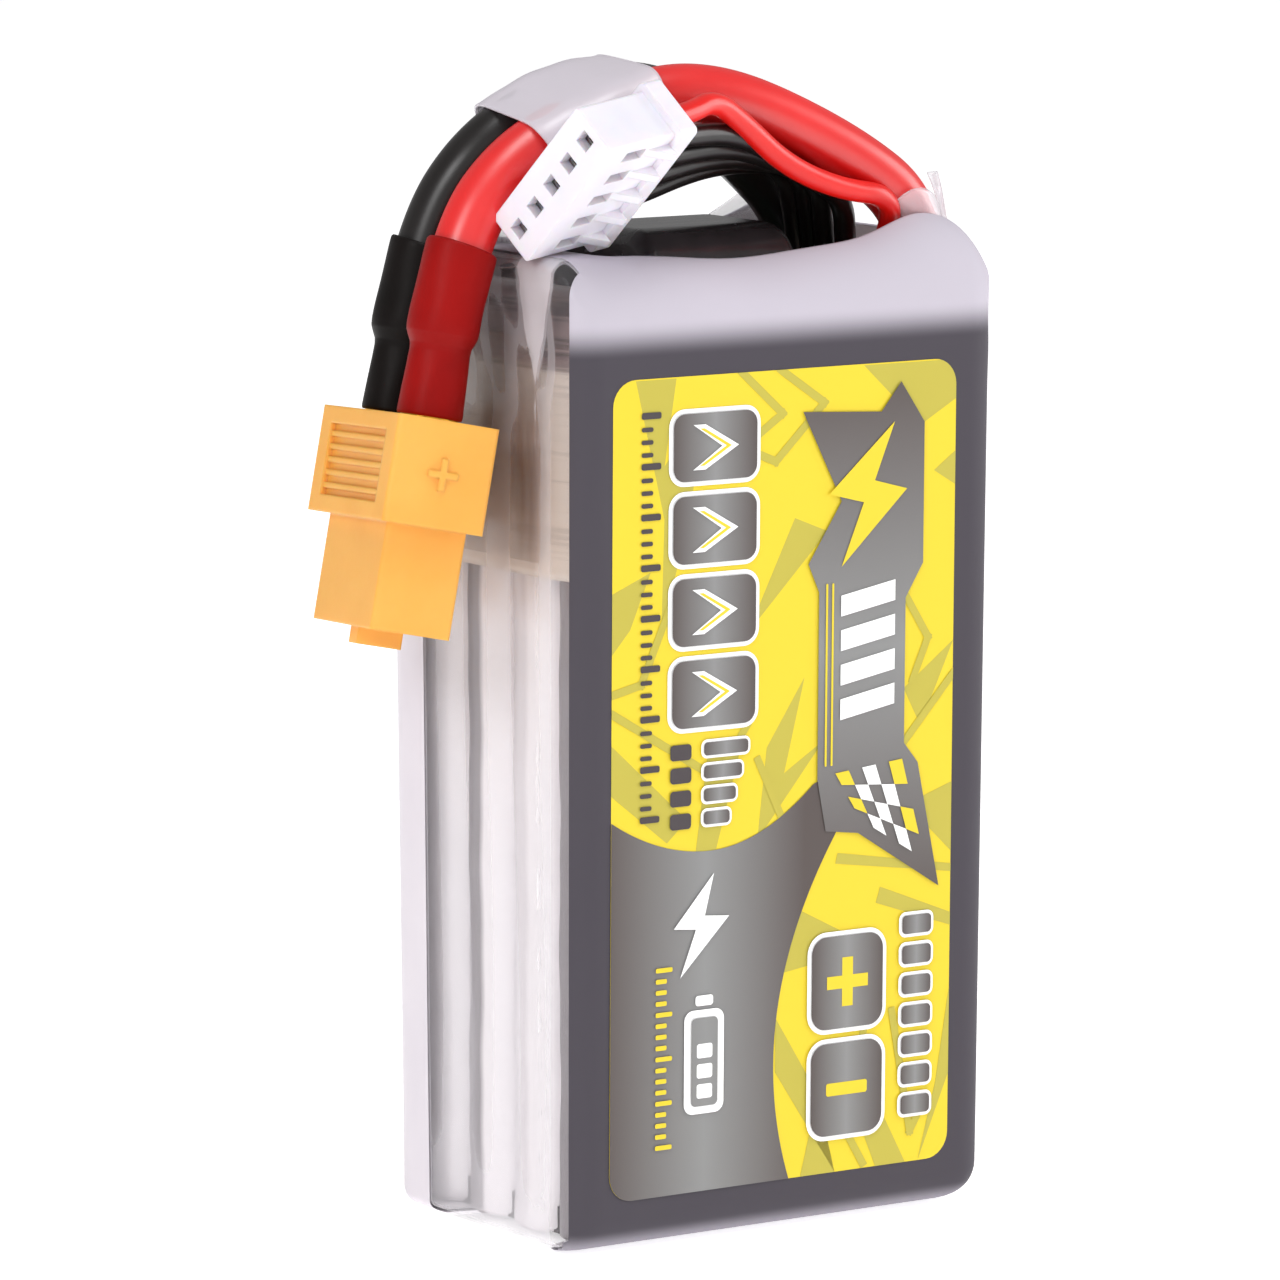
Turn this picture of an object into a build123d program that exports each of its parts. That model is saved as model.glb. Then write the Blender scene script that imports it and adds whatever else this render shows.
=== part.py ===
"""Four-cell lithium-polymer pack of the kind racing drones carry, about 75 x 39 x 27 mm, in millimetres.

Frame: +X to the right along the broad front face (the front looks along -Y), +Z up along the pack's
length, origin at the middle of the base. The two main leads and the five balance wires leave the top
at the right, arch over it and end in a two-pole power plug and a five-way balance plug.
"""
from build123d import *
import math
import os

# ---------------------------------------------------------------- wrapped pack
body_height = 75.0
width_at_base, width_at_top = 38.7, 39.3
depth_at_base, depth_at_top = 26.0, 27.6
upright_corner_radius = 3.0
base_edge_radius = 2.9
top_edge_radius = 5.2
end_edge_radius = 3.4
film = 0.25
film_gap = 0.05
lead_opening = (-15.0, 18.6, 19.4)          # from x, to x, depth in y
base_opening = (26.0, 15.0)

# ---------------------------------------------------------------- cells and what joins them
cell_count = 4
cell_thickness = 6.1
cell_gap = 0.3
cell_width = 36.4
cell_bottom, cell_top = 2.6, 64.0
cell_corner_radius = 1.5
side_seal = (0.35, 3.0)                     # folded seal: thickness, height across the cell
top_seal_height = 1.6
top_seal_thickness = 0.7
tab_width, tab_thickness = 7.0, 0.2
tab_offset = 8.0
tab_fold = 2.6
insulator_z, insulator_thickness = 66.5, 0.4
board_z, board_thickness = 67.1, 1.0
board_size = (35.0, 22.4)
slot_size = (8.2, 0.8)
fibre_band = (50.8, 72.6, 0.15)             # from z, to z, thickness
tape_thickness = 0.12

# ---------------------------------------------------------------- main leads and their plug
lead_diameter = 4.5
strand_radius = 1.55
plug_origin = Vector(-25.75, -1.1, 62.8)    # middle of the plug's lead end
plug_mouth_way = Vector(-0.205, -0.024, -0.978)
plug_wide_way = Vector(0.175, 0.983, -0.06)
plug_block = (16.0, 8.1, 8.0)
plug_nose = (13.6, 6.4, 8.0)
nose_chamfer = 1.7
pole_offset = 3.6
socket_outer_radius, socket_bore_radius = 2.2, 1.75
socket_depth = 9.0
socket_recess = 0.6
cup_reach = 4.6                             # solder cup above the block
insulation_start = 6.4                      # where each lead's insulation ends above the block
shrink_length = 12.6

positive_route = [(15.2, -7.0, 72.2), (12.4, -6.6, 78.9), (6.4, -5.8, 83.9), (-2.4, -5.0, 86.2),
                  (-11.0, -4.7, 85.4), (-18.4, -4.4, 82.4), (-23.49, -4.27, 76.63), (-25.03, -4.45, 69.3)]
negative_route = [(14.8, 6.0, 72.2), (12.4, 4.4, 78.8), (6.2, 2.0, 84.0), (-2.6, -0.3, 86.7),
                  (-11.2, 0.0, 86.2), (-18.2, 0.8, 83.0), (-22.24, 2.79, 76.2), (-23.78, 2.61, 68.87)]
band_route = [(-2.5, -2.65, 86.45), (-11.1, -2.35, 85.8), (-18.3, -1.8, 82.7)]
band_wall, band_slack = 0.3, 0.22
band_trim = 2.2

# ---------------------------------------------------------------- balance wires and their plug
wire_diameter = 1.7
way_count, way_pitch = 5, 2.5
balance_face = Vector(-20.4, -12.2, 80.6)   # middle of the balance plug's mating face
balance_mating_way = Vector(-0.958, -0.263, -0.115)
balance_row_way = Vector(-0.115, 0.72, -0.685)
balance_body = (12.7, 4.4, 7.2)
balance_flange = (13.9, 5.3, 1.8)
contact_size = (1.7, 2.0, 3.0)
wire_reach = 5.4                            # how deep each wire ends behind the mating face
wire_middles = [
    [(-1.2, -10.8, 84.6), (5.4, -8.8, 80.6), (10.2, -4.9, 75.6), (12.7, -4.0, 69.9)],
    [(-1.6, -8.8, 82.8), (4.8, -6.1, 79.4), (10.4, -3.2, 75.8), (12.9, -2.2, 69.9)],
    [(-1.8, -6.8, 81.0), (4.2, -3.7, 78.6), (10.2, -0.9, 75.4), (12.7, -0.4, 69.9)],
    [(-2.0, -4.6, 79.4), (3.8, -1.4, 78.2), (9.8, 1.2, 75.4), (12.9, 1.4, 69.9)],
    [(-2.0, -2.4, 78.2), (3.4, 0.8, 77.8), (9.6, 3.0, 75.6), (12.7, 3.2, 69.9)],
]

BOTTOM_UP = (Align.CENTER, Align.CENTER, Align.MIN)


# ---------------------------------------------------------------- helpers
def block(size, centre, lowest_z):
    """Box of the given size, centred at (x, y), standing on lowest_z."""
    return Pos(centre[0], centre[1], lowest_z) * Box(*size, align=BOTTOM_UP)


def tapered_profile(half_base, half_top, inset, base_radius, top_radius):
    """Upright section of the pack: tapered sides with the base and top edges rounded."""
    lean = (half_top - half_base) / body_height
    low, high = inset, body_height - inset
    half_low = half_base + lean * low - inset
    half_high = half_base + lean * high - inset
    outline = Polyline((-half_low, low), (half_low, low), (half_high, high), (-half_high, high), close=True)
    face = make_face(outline)
    corners = face.vertices().sort_by(Axis.Y)
    face = fillet(corners[2:], top_radius - inset)
    return fillet(face.vertices().sort_by(Axis.Y)[:2], base_radius - inset)


def pack_form(inset):
    """Solid outline of the wrapped pack, drawn in by inset all round."""
    reach = 2.0 * width_at_top
    side_view = tapered_profile(depth_at_base / 2, depth_at_top / 2, inset, base_edge_radius, top_edge_radius)
    front_view = tapered_profile(width_at_base / 2, width_at_top / 2, inset, base_edge_radius, end_edge_radius)
    along_x = extrude(Plane.YZ * side_view, reach / 2, both=True)
    along_y = extrude(Plane.XZ * front_view, reach / 2, both=True)
    lower = RectangleRounded(width_at_base - 2 * inset, depth_at_base - 2 * inset, upright_corner_radius - inset)
    upper = RectangleRounded(width_at_top - 2 * inset, depth_at_top - 2 * inset, upright_corner_radius - inset)
    plan = loft([lower, Pos(0, 0, body_height) * upper])
    return along_x & along_y & plan


def shell_between(outer_inset, wall, low_z, high_z):
    """Thin wall that follows the pack between two heights."""
    reach = 2.0 * width_at_top
    slab = block((reach, reach, high_z - low_z), (0, 0), low_z)
    return (pack_form(outer_inset) - pack_form(outer_inset + wall)) & slab


def bend_radii(route):
    """Arc at each corner: 0.45 of the shorter run, divided by the tangent of half the turn."""
    points = [Vector(*point) for point in route]
    radii = []
    for before, corner, after in zip(points, points[1:], points[2:]):
        run_in, run_out = corner - before, after - corner
        turn = math.radians(run_in.get_angle(run_out))
        radii.append(0.45 * min(run_in.length, run_out.length) / math.tan(turn / 2))
    return radii


def tube(name, route, diameter):
    """Round cord along straight runs joined by tangent arcs."""
    radii = bend_radii(route)
    path = FilletPolyline(*route, radius=radii)
    section = Plane(origin=path @ 0, z_dir=path % 0) * Circle(diameter / 2)
    cord = sweep(section, path=path)
    expected = math.pi * diameter**2 / 4 * path.length
    print(f"{name}: length {path.length:.1f}, radii {[round(r, 1) for r in radii]}, "
          f"volume {cord.volume:.1f} of {expected:.1f}")
    return cord


def ring(outer_radius, inner_radius, length):
    """Straight tube standing on the origin along +Z."""
    return Cylinder(outer_radius, length, align=BOTTOM_UP) - Cylinder(inner_radius, length, align=BOTTOM_UP)


def save(name, *solids):
    """Write one node; several solids stay separate in it."""
    shape = solids[0] if len(solids) == 1 else Compound(children=list(solids))
    export_step(shape, f"parts/{name}.step")


# ---------------------------------------------------------------- cell stack
def cell_centres():
    pitch = cell_thickness + cell_gap
    return [(index - (cell_count - 1) / 2) * pitch for index in range(cell_count)]


def make_cell(centre_y):
    """Pouch with rounded long edges, a flat top seal and folded side seals."""
    height = cell_top - cell_bottom
    pouch = block((cell_width, cell_thickness, height), (0, centre_y), cell_bottom)
    pouch = fillet(pouch.edges().filter_by(Axis.Z), cell_corner_radius)
    pouch = fillet(pouch.faces().sort_by(Axis.Z)[0].edges(), 0.8)
    top_seal = block((34.0, top_seal_thickness, top_seal_height + 0.2), (0, centre_y), cell_top - 0.2)
    seal_thickness, seal_height = side_seal
    outermost = abs(centre_y) > cell_thickness + cell_gap
    shift = -0.9 * math.copysign(1, centre_y) if outermost else 0.0
    for side in (-1, 1):
        seal_x = side * (cell_width / 2 + seal_thickness / 2 - 0.05)
        size = (seal_thickness + 0.1, seal_height, height - 3.0)
        pouch += block(size, (seal_x, centre_y + shift), cell_bottom + 1.2)
    return pouch + top_seal


def tab_places(wanted):
    """(x, y) of each tab of one polarity: neighbouring cells are turned end for end."""
    places = []
    for index, centre_y in enumerate(cell_centres()):
        positive_side = 1 if index % 2 == 0 else -1
        places.append((positive_side * wanted * tab_offset, centre_y))
    return places


def make_tab(x, y):
    """Strip from the cell's top seal up through the board, folded flat on it towards the middle."""
    start = cell_top + top_seal_height
    board_top = board_z + board_thickness
    upright = block((tab_width, tab_thickness, board_top + tab_thickness - start), (x, y), start)
    inward = -math.copysign(1, y)
    fold_y = y + inward * (tab_fold / 2 - tab_thickness / 2)
    return upright + block((tab_width, tab_fold, tab_thickness), (x, fold_y), board_top)


def all_tab_places():
    return tab_places(1) + tab_places(-1)


def with_slots(plate):
    """Plate with a slot for every tab."""
    for x, y in all_tab_places():
        plate -= Pos(x, y, 0) * Box(*slot_size, 4 * body_height)
    return plate


def make_seal_strips():
    """Polymer strip round each tab where it leaves the top seal."""
    start = cell_top + top_seal_height
    strips = []
    for x, y in all_tab_places():
        strip = block((tab_width + 1.0, 0.7, insulator_z - 0.02 - start), (x, y), start)
        strips.append(strip - block((tab_width, tab_thickness, 4.0), (x, y), start - 1.0))
    return strips


def make_pads():
    """Double-sided tape between neighbouring cells."""
    centres = cell_centres()
    gaps = [(low + high) / 2 for low, high in zip(centres, centres[1:])]
    return [block((28.0, cell_gap, 50.0), (0, y), 8.0) for y in gaps]


def make_board():
    board = block((*board_size, board_thickness), (0, 0), board_z)
    board = fillet(board.edges().filter_by(Axis.Z), 1.5)
    return with_slots(board)


def make_insulator():
    return with_slots(block((34.0, 21.8, insulator_thickness), (0, 0), insulator_z))


def make_polyimide_tape():
    """Brown tape over the board's left end and down the left side, under the fibre band."""
    side_x = -(width_at_base / 2 - film - film_gap - fibre_band[2]) + 0.1
    low, high = fibre_band[0] + 1.2, board_z + board_thickness + 0.8
    down = block((tape_thickness, 12.0, high - low), (side_x + tape_thickness / 2, -2.0), low)
    across = block((15.0, 12.0, tape_thickness), (side_x + 7.5, -2.0), high - tape_thickness)
    return down + across


def make_bottom_pad():
    pad = block((base_opening[0] + 6.0, base_opening[1] + 5.0, 2.1), (0, 0), 0.3)
    return fillet(pad.edges().filter_by(Axis.Z), 2.5)


def make_top_pad():
    """Black foam cushion over the board, rounded on top."""
    low = board_z + board_thickness + 1.1
    pad = block((13.8, 14.8, 76.2 - low), (-1.6, 0), low)
    pad = fillet(pad.edges().filter_by(Axis.X).sort_by(Axis.Z)[-2:], 3.6)
    return fillet(pad.edges().filter_by(Axis.Z), 1.2)


def make_sleeve():
    """Heat-shrunk film round the whole pack, open where the leads leave and under the base."""
    from_x, to_x, depth = lead_opening
    opening = RectangleRounded(to_x - from_x, depth, 3.0)
    top_cut = Pos((from_x + to_x) / 2, 0, body_height - 8.0) * extrude(opening, 20.0)
    base_cut = Pos(0, 0, -5.0) * extrude(RectangleRounded(*base_opening, 3.0), 10.0)
    return pack_form(0.0) - pack_form(film) - top_cut - base_cut


def make_fibre_band():
    low, high, thickness = fibre_band
    from_x, to_x, depth = lead_opening
    band = shell_between(film + film_gap, thickness, low, high)
    return band - block((to_x - from_x + 2.0, depth + 4.0, 20.0), ((from_x + to_x) / 2, 0), 73.0)


# ---------------------------------------------------------------- power plug
plug_frame = Plane(origin=plug_origin, x_dir=plug_wide_way, z_dir=plug_mouth_way)
balance_frame = Plane(origin=balance_face, x_dir=balance_row_way, z_dir=balance_mating_way)


def plus_mark(size):
    return Box(size, 0.5, 0.45) + Box(0.5, size, 0.45)


def make_plug_housing():
    """Two-pole housing: square block over the solder cups, then a nose whose negative end is bevelled."""
    wide, thick, length = plug_block
    nose_wide, nose_thick, nose_length = plug_nose
    body = Box(wide, thick, length, align=BOTTOM_UP)
    body = fillet(body.edges().filter_by(Axis.Z), 0.45)
    nose = Pos(0, 0, length) * Box(nose_wide, nose_thick, nose_length, align=BOTTOM_UP)
    negative_edges = nose.edges().filter_by(Axis.Z).sort_by(Axis.X)[-2:]
    nose = chamfer(negative_edges, nose_chamfer)
    nose = fillet(nose.edges().filter_by(Axis.Z).sort_by(Axis.X)[:2], 0.35)
    body += nose
    total = length + nose_length
    body += Pos(0, 0, total) * Box(1.6, 3.6, 1.3, align=BOTTOM_UP)
    for pole in (-pole_offset, pole_offset):
        body -= Pos(pole, 0, -1.0) * Cylinder(socket_outer_radius, total + 2.0, align=BOTTOM_UP)
    for face in (-1, 1):
        recess = Box(11.4, 0.9, 5.4)
        body -= Pos(0, face * thick / 2, 4.0) * recess
        for rib in range(5):
            body += Pos(0, face * (thick / 2 - 0.33), 2.05 + rib * 0.98) * Box(11.4, 0.3, 0.42)
    body += Pos(-wide / 2, 0, 4.0) * Rot(0, 90, 0) * plus_mark(2.4)
    body += Pos(wide / 2, 0, 4.0) * Rot(0, 90, 0) * Box(0.5, 2.4, 0.45)
    return plug_frame.location * body


def make_socket(pole):
    """Plated socket: split spring barrel towards the mouth and a solder cup behind it."""
    mouth_z = plug_block[2] + plug_nose[2] - socket_recess
    contact = Pos(0, 0, -cup_reach) * Cylinder(socket_outer_radius, mouth_z + cup_reach, align=BOTTOM_UP)
    contact -= Pos(0, 0, mouth_z - socket_depth) * Cylinder(socket_bore_radius, socket_depth, align=BOTTOM_UP)
    contact -= Pos(0, 0, -cup_reach) * Cylinder(1.7, 4.4, align=BOTTOM_UP)
    slit = Pos(0, 0, mouth_z - 6.0) * Box(0.35, 2 * socket_outer_radius, 6.0, align=BOTTOM_UP)
    contact -= slit + Rot(0, 0, 90) * slit
    return plug_frame.location * Pos(pole, 0, 0) * contact


def make_plug_end(pole):
    """Stripped strands from the insulation's end down into the solder cup."""
    length = insulation_start - cup_reach + 4.2
    strands = Pos(0, 0, -insulation_start) * Cylinder(strand_radius, length, align=BOTTOM_UP)
    return plug_frame.location * Pos(pole, 0, 0) * strands


def make_board_end(route):
    """Stripped strands from the lead's inner end down to the board."""
    start, following = Vector(*route[0]), Vector(*route[1])
    away = (start - following).normalized()
    board_top = board_z + board_thickness
    reach = (start.Z - board_top - strand_radius * 0.9) / -away.Z
    return Plane(origin=start, z_dir=away).location * Cylinder(strand_radius, reach, align=BOTTOM_UP)


def make_heat_shrink(pole):
    """Shrunk tube: wide over the insulation, necked in where it passes on to the solder cup."""
    insulated, cup = lead_diameter / 2, socket_outer_radius
    profile = Polyline((cup + 0.02, 0.1), (cup + 0.3, 0.1), (cup + 0.26, 5.6), (insulated + 0.45, 6.8),
                       (insulated + 0.42, shrink_length), (insulated + 0.12, shrink_length),
                       (insulated + 0.12, 6.9), (cup + 0.02, 6.2), close=True)
    sleeve = revolve(Plane.XZ * make_face(profile), Axis.Z)
    return plug_frame.location * Pos(pole, 0, 0) * Rot(180, 0, 0) * sleeve


# ---------------------------------------------------------------- lead band
def make_lead_band():
    """Clear shrink sleeve that holds the two main leads side by side at the top of the arch."""
    route = [Vector(*point) for point in band_route]
    first = route[0] + (route[1] - route[0]).normalized() * band_trim
    last = route[2] + (route[1] - route[2]).normalized() * band_trim
    points = [first, route[1], last]
    path = FilletPolyline(*points, radius=bend_radii([tuple(point) for point in points]))
    start_way = path % 0
    across = Vector(-0.1, 4.7, 0.7)
    section_plane = Plane(origin=path @ 0, x_dir=across, z_dir=start_way)
    inner_height = lead_diameter + 2 * band_slack
    inner_width = lead_diameter + 4.85 + 2 * band_slack
    outer = SlotOverall(inner_width + 2 * band_wall, inner_height + 2 * band_wall)
    inner = SlotOverall(inner_width, inner_height)
    return sweep(section_plane * outer, path=path) - sweep(section_plane * inner, path=path)


# ---------------------------------------------------------------- balance plug
def way_offsets():
    return [(index - (way_count - 1) / 2) * way_pitch for index in range(way_count)]


def make_balance_housing():
    """Five-way crimp housing: pin holes in front, wire cavities behind, windows and keys on the sides."""
    wide, thick, length = balance_body
    flange_wide, flange_thick, flange_length = balance_flange
    body = Pos(0, 0, -length) * Box(wide, thick, length, align=BOTTOM_UP)
    body = fillet(body.edges().filter_by(Axis.Z), 0.3)
    flange = Pos(0, 0, -length - flange_length) * Box(flange_wide, flange_thick, flange_length, align=BOTTOM_UP)
    body += fillet(flange.edges().filter_by(Axis.Z), 0.5)
    total = length + flange_length
    for offset in (-2.5, 2.5):
        key = Pos(offset, -thick / 2, -length) * Box(1.7, 1.0, length - 1.2, align=BOTTOM_UP)
        body += fillet(key.edges().filter_by(Axis.Z), 0.4)
    for offset in way_offsets():
        body -= Pos(offset, 0, -total) * Box(1.9, 2.6, total - 1.0, align=BOTTOM_UP)
        body -= Pos(offset, 0, -1.5) * Box(1.2, 1.2, 3.0, align=BOTTOM_UP)
        body -= Pos(offset, thick / 2, -4.6) * Box(1.1, 3.0, 2.2, align=BOTTOM_UP)
        wedge = make_face(Polyline((0, -length), (1.1, -length), (0, -length + 2.4), close=True))
        rib = extrude(Plane.YZ * Pos(thick / 2, 0) * wedge, 0.35, both=True)
        body += Pos(offset, 0, 0) * rib
    return balance_frame.location * body


def make_contact(offset):
    """Box contact that the mating pin enters, with its crimp closed on the wire's end."""
    wide, thick, length = contact_size
    front = -1.1 - length
    contact = Pos(offset, 0, front) * Box(wide, thick, length, align=BOTTOM_UP)
    contact -= Pos(offset, 0, front + 0.6) * Box(0.8, 0.8, length, align=BOTTOM_UP)
    crimp = Pos(offset, 0, -wire_reach + 0.02) * Cylinder(0.75, wire_reach + front, align=BOTTOM_UP)
    return balance_frame.location * (contact + crimp)


def balance_point(offset, behind):
    """Point behind the mating face on one way's axis, rounded as a route point."""
    point = balance_frame.from_local_coords(Vector(offset, 0, -behind))
    return tuple(round(value, 2) for value in point)


def make_wire_route(index):
    offset = way_offsets()[index]
    return [balance_point(offset, wire_reach), balance_point(offset, wire_reach + 6.0)] + wire_middles[index]


def make_solder_joints():
    """A low cone of solder at each wire and at each main lead's stripped end."""
    board_top = board_z + board_thickness
    cones = []
    for route in wire_middles:
        x, y, z = route[-1]
        cones.append(Pos(x, y, board_top) * Cone(0.85, 0.55, z - board_top, align=BOTTOM_UP))
    return cones


os.makedirs("parts", exist_ok=True)

save("shrink_sleeve", make_sleeve())
save("fibre_tape_band", make_fibre_band())
save("polyimide_tape", make_polyimide_tape())
save("bottom_pad", make_bottom_pad())
save("top_pad", make_top_pad())

for number, centre in enumerate(cell_centres(), start=1):
    save(f"cell_{number}", make_cell(centre))
save("cell_tape_pads", *make_pads())
save("positive_tabs", *[make_tab(x, y) for x, y in tab_places(1)])
save("negative_tabs", *[make_tab(x, y) for x, y in tab_places(-1)])
save("tab_seal_strips", *make_seal_strips())
save("cell_insulator", make_insulator())
save("balance_board", make_board())
save("solder_joints", *make_solder_joints())

save("positive_lead", tube("positive_lead", positive_route, lead_diameter))
save("negative_lead", tube("negative_lead", negative_route, lead_diameter))
save("positive_stripped_ends", make_plug_end(-pole_offset), make_board_end(positive_route))
save("negative_stripped_ends", make_plug_end(pole_offset), make_board_end(negative_route))
save("positive_heat_shrink", make_heat_shrink(-pole_offset))
save("negative_heat_shrink", make_heat_shrink(pole_offset))
save("lead_band", make_lead_band())
save("power_plug_housing", make_plug_housing())
save("positive_socket", make_socket(-pole_offset))
save("negative_socket", make_socket(pole_offset))

for index in range(way_count):
    name = f"balance_wire_{index + 1}"
    save(name, tube(name, make_wire_route(index), wire_diameter))
save("balance_plug_housing", make_balance_housing())
save("balance_contacts", *[make_contact(offset) for offset in way_offsets()])
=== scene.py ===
"""A four-cell lithium-polymer racing pack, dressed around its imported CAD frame.

Every length in the dataclasses is in millimetres and is turned to metres when a mesh is made.
The frame: +X to the right along the broad printed front, the front faces -Y, +Z up, and the
origin is in the middle of the base.
"""
import logging
import math
from dataclasses import dataclass, field
from enum import Enum

import bpy
import numpy as np
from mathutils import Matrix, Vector
from mathutils.geometry import tessellate_polygon


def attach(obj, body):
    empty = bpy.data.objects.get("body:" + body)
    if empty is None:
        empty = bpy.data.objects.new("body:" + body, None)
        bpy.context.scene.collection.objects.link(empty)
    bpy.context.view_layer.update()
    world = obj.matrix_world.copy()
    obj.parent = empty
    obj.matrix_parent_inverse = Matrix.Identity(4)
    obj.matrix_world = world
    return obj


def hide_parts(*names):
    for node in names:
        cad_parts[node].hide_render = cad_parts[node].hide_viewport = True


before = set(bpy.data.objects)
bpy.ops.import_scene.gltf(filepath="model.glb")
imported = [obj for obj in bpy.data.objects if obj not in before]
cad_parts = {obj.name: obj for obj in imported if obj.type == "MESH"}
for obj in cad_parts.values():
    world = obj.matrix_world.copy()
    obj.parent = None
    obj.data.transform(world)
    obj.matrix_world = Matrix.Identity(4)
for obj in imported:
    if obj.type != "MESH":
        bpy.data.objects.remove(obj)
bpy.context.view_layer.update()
LOG = logging.getLogger("pack")
MM = 0.001
BODY = "root"
Array = np.ndarray


# ---------------------------------------------------------------- small tools
def linear(colour: str) -> tuple[float, float, float, float]:
    """Turns an sRGB hex colour to linear light.

    Args:
        colour: six hex digits after a hash.
    Returns:
        Red, green, blue and an alpha of 1.
    """
    parts = [int(colour[i:i + 2], 16) / 255 for i in (1, 3, 5)]
    return tuple(c / 12.92 if c <= 0.04045 else ((c + 0.055) / 1.055) ** 2.4 for c in parts) + (1.0,)


def smooth_step(value: Array, low: float, high: float) -> Array:
    """0 below low and 1 above high, with 3 t^2 - 2 t^3 between them."""
    t = np.clip((np.asarray(value, float) - low) / (high - low), 0, 1)
    return t * t * (3 - 2 * t)


def add_node(tree: bpy.types.NodeTree, kind: str, links: dict | None = None, **settings) -> bpy.types.Node:
    """Adds one shader node.

    Args:
        tree: the material's tree.
        kind: the node's type without its ShaderNode prefix.
        links: socket name or index to an output socket or a plain value.
        settings: the node's own properties.
    Returns:
        The node.
    """
    made = tree.nodes.new("ShaderNode" + kind)
    for key, value in settings.items():
        setattr(made, key, value)
    for key, value in (links or {}).items():
        if isinstance(value, bpy.types.NodeSocket):
            tree.links.new(value, made.inputs[key])
        else:
            made.inputs[key].default_value = value
    return made


def add_ramp(tree: bpy.types.NodeTree, value: bpy.types.NodeSocket, stops: list[tuple[float, str]],
             smooth: bool = False) -> bpy.types.NodeSocket:
    """Adds a colour ramp that reads value, with the given places and hex colours.

    Returns:
        The ramp's colour output.
    """
    made = add_node(tree, "ValToRGB", {"Fac": value})
    made.color_ramp.interpolation = "EASE" if smooth else "LINEAR"
    places = made.color_ramp.elements
    while len(places) < len(stops):
        places.new(0.5)
    for place, (at, colour) in zip(places, stops):
        place.position = at
        place.color = linear(colour)
    return made.outputs["Color"]


def new_object(name: str, verts: Array, faces: list | Array, materials: list[bpy.types.Material],
               slots: Array | None = None, smooth: bool = True) -> bpy.types.Object:
    """Puts a mesh in the scene, riding on the pack's body.

    Args:
        name: the piece's name.
        verts: N x 3 points, in millimetres.
        faces: the point numbers of each face.
        materials: the material slots.
        slots: the slot of each face, or None for the first.
        smooth: whether the faces are shaded smooth.
    Returns:
        The object, at the origin.
    """
    mesh = bpy.data.meshes.new(name)
    faces = faces.tolist() if isinstance(faces, np.ndarray) else faces
    mesh.from_pydata((np.asarray(verts, float).reshape(-1, 3) * MM).tolist(), [], faces)
    for material in materials:
        mesh.materials.append(material)
    if slots is not None:
        mesh.polygons.foreach_set("material_index", np.asarray(slots, np.int32))
    mesh.polygons.foreach_set("use_smooth", np.full(len(mesh.polygons), smooth))
    mesh.update()
    made = bpy.data.objects.new(name, mesh)
    bpy.context.scene.collection.objects.link(made)
    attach(made, BODY)
    return made


def grid_faces(rows: int, columns: int, closed: bool = True) -> Array:
    """The quads of a grid of rows x columns points, point (r, c) being number r * columns + c.

    Args:
        rows: how many rows of points.
        columns: how many points in a row.
        closed: whether the last column joins the first.
    Returns:
        M x 4 point numbers.
    """
    r, c = np.meshgrid(np.arange(rows - 1), np.arange(columns if closed else columns - 1), indexing="ij")
    n = (c + 1) % columns
    corners = [r * columns + c, r * columns + n, (r + 1) * columns + n, (r + 1) * columns + c]
    return np.stack(corners, -1).reshape(-1, 4)


def unit(rows: Array) -> Array:
    """Each row divided by its length."""
    return rows / np.linalg.norm(rows, axis=-1, keepdims=True)


def add_modifier(made: bpy.types.Object, kind: str, **settings) -> None:
    """Adds one modifier with its settings."""
    modifier = made.modifiers.new(kind.title(), kind)
    for key, value in settings.items():
        setattr(modifier, key, value)


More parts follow.
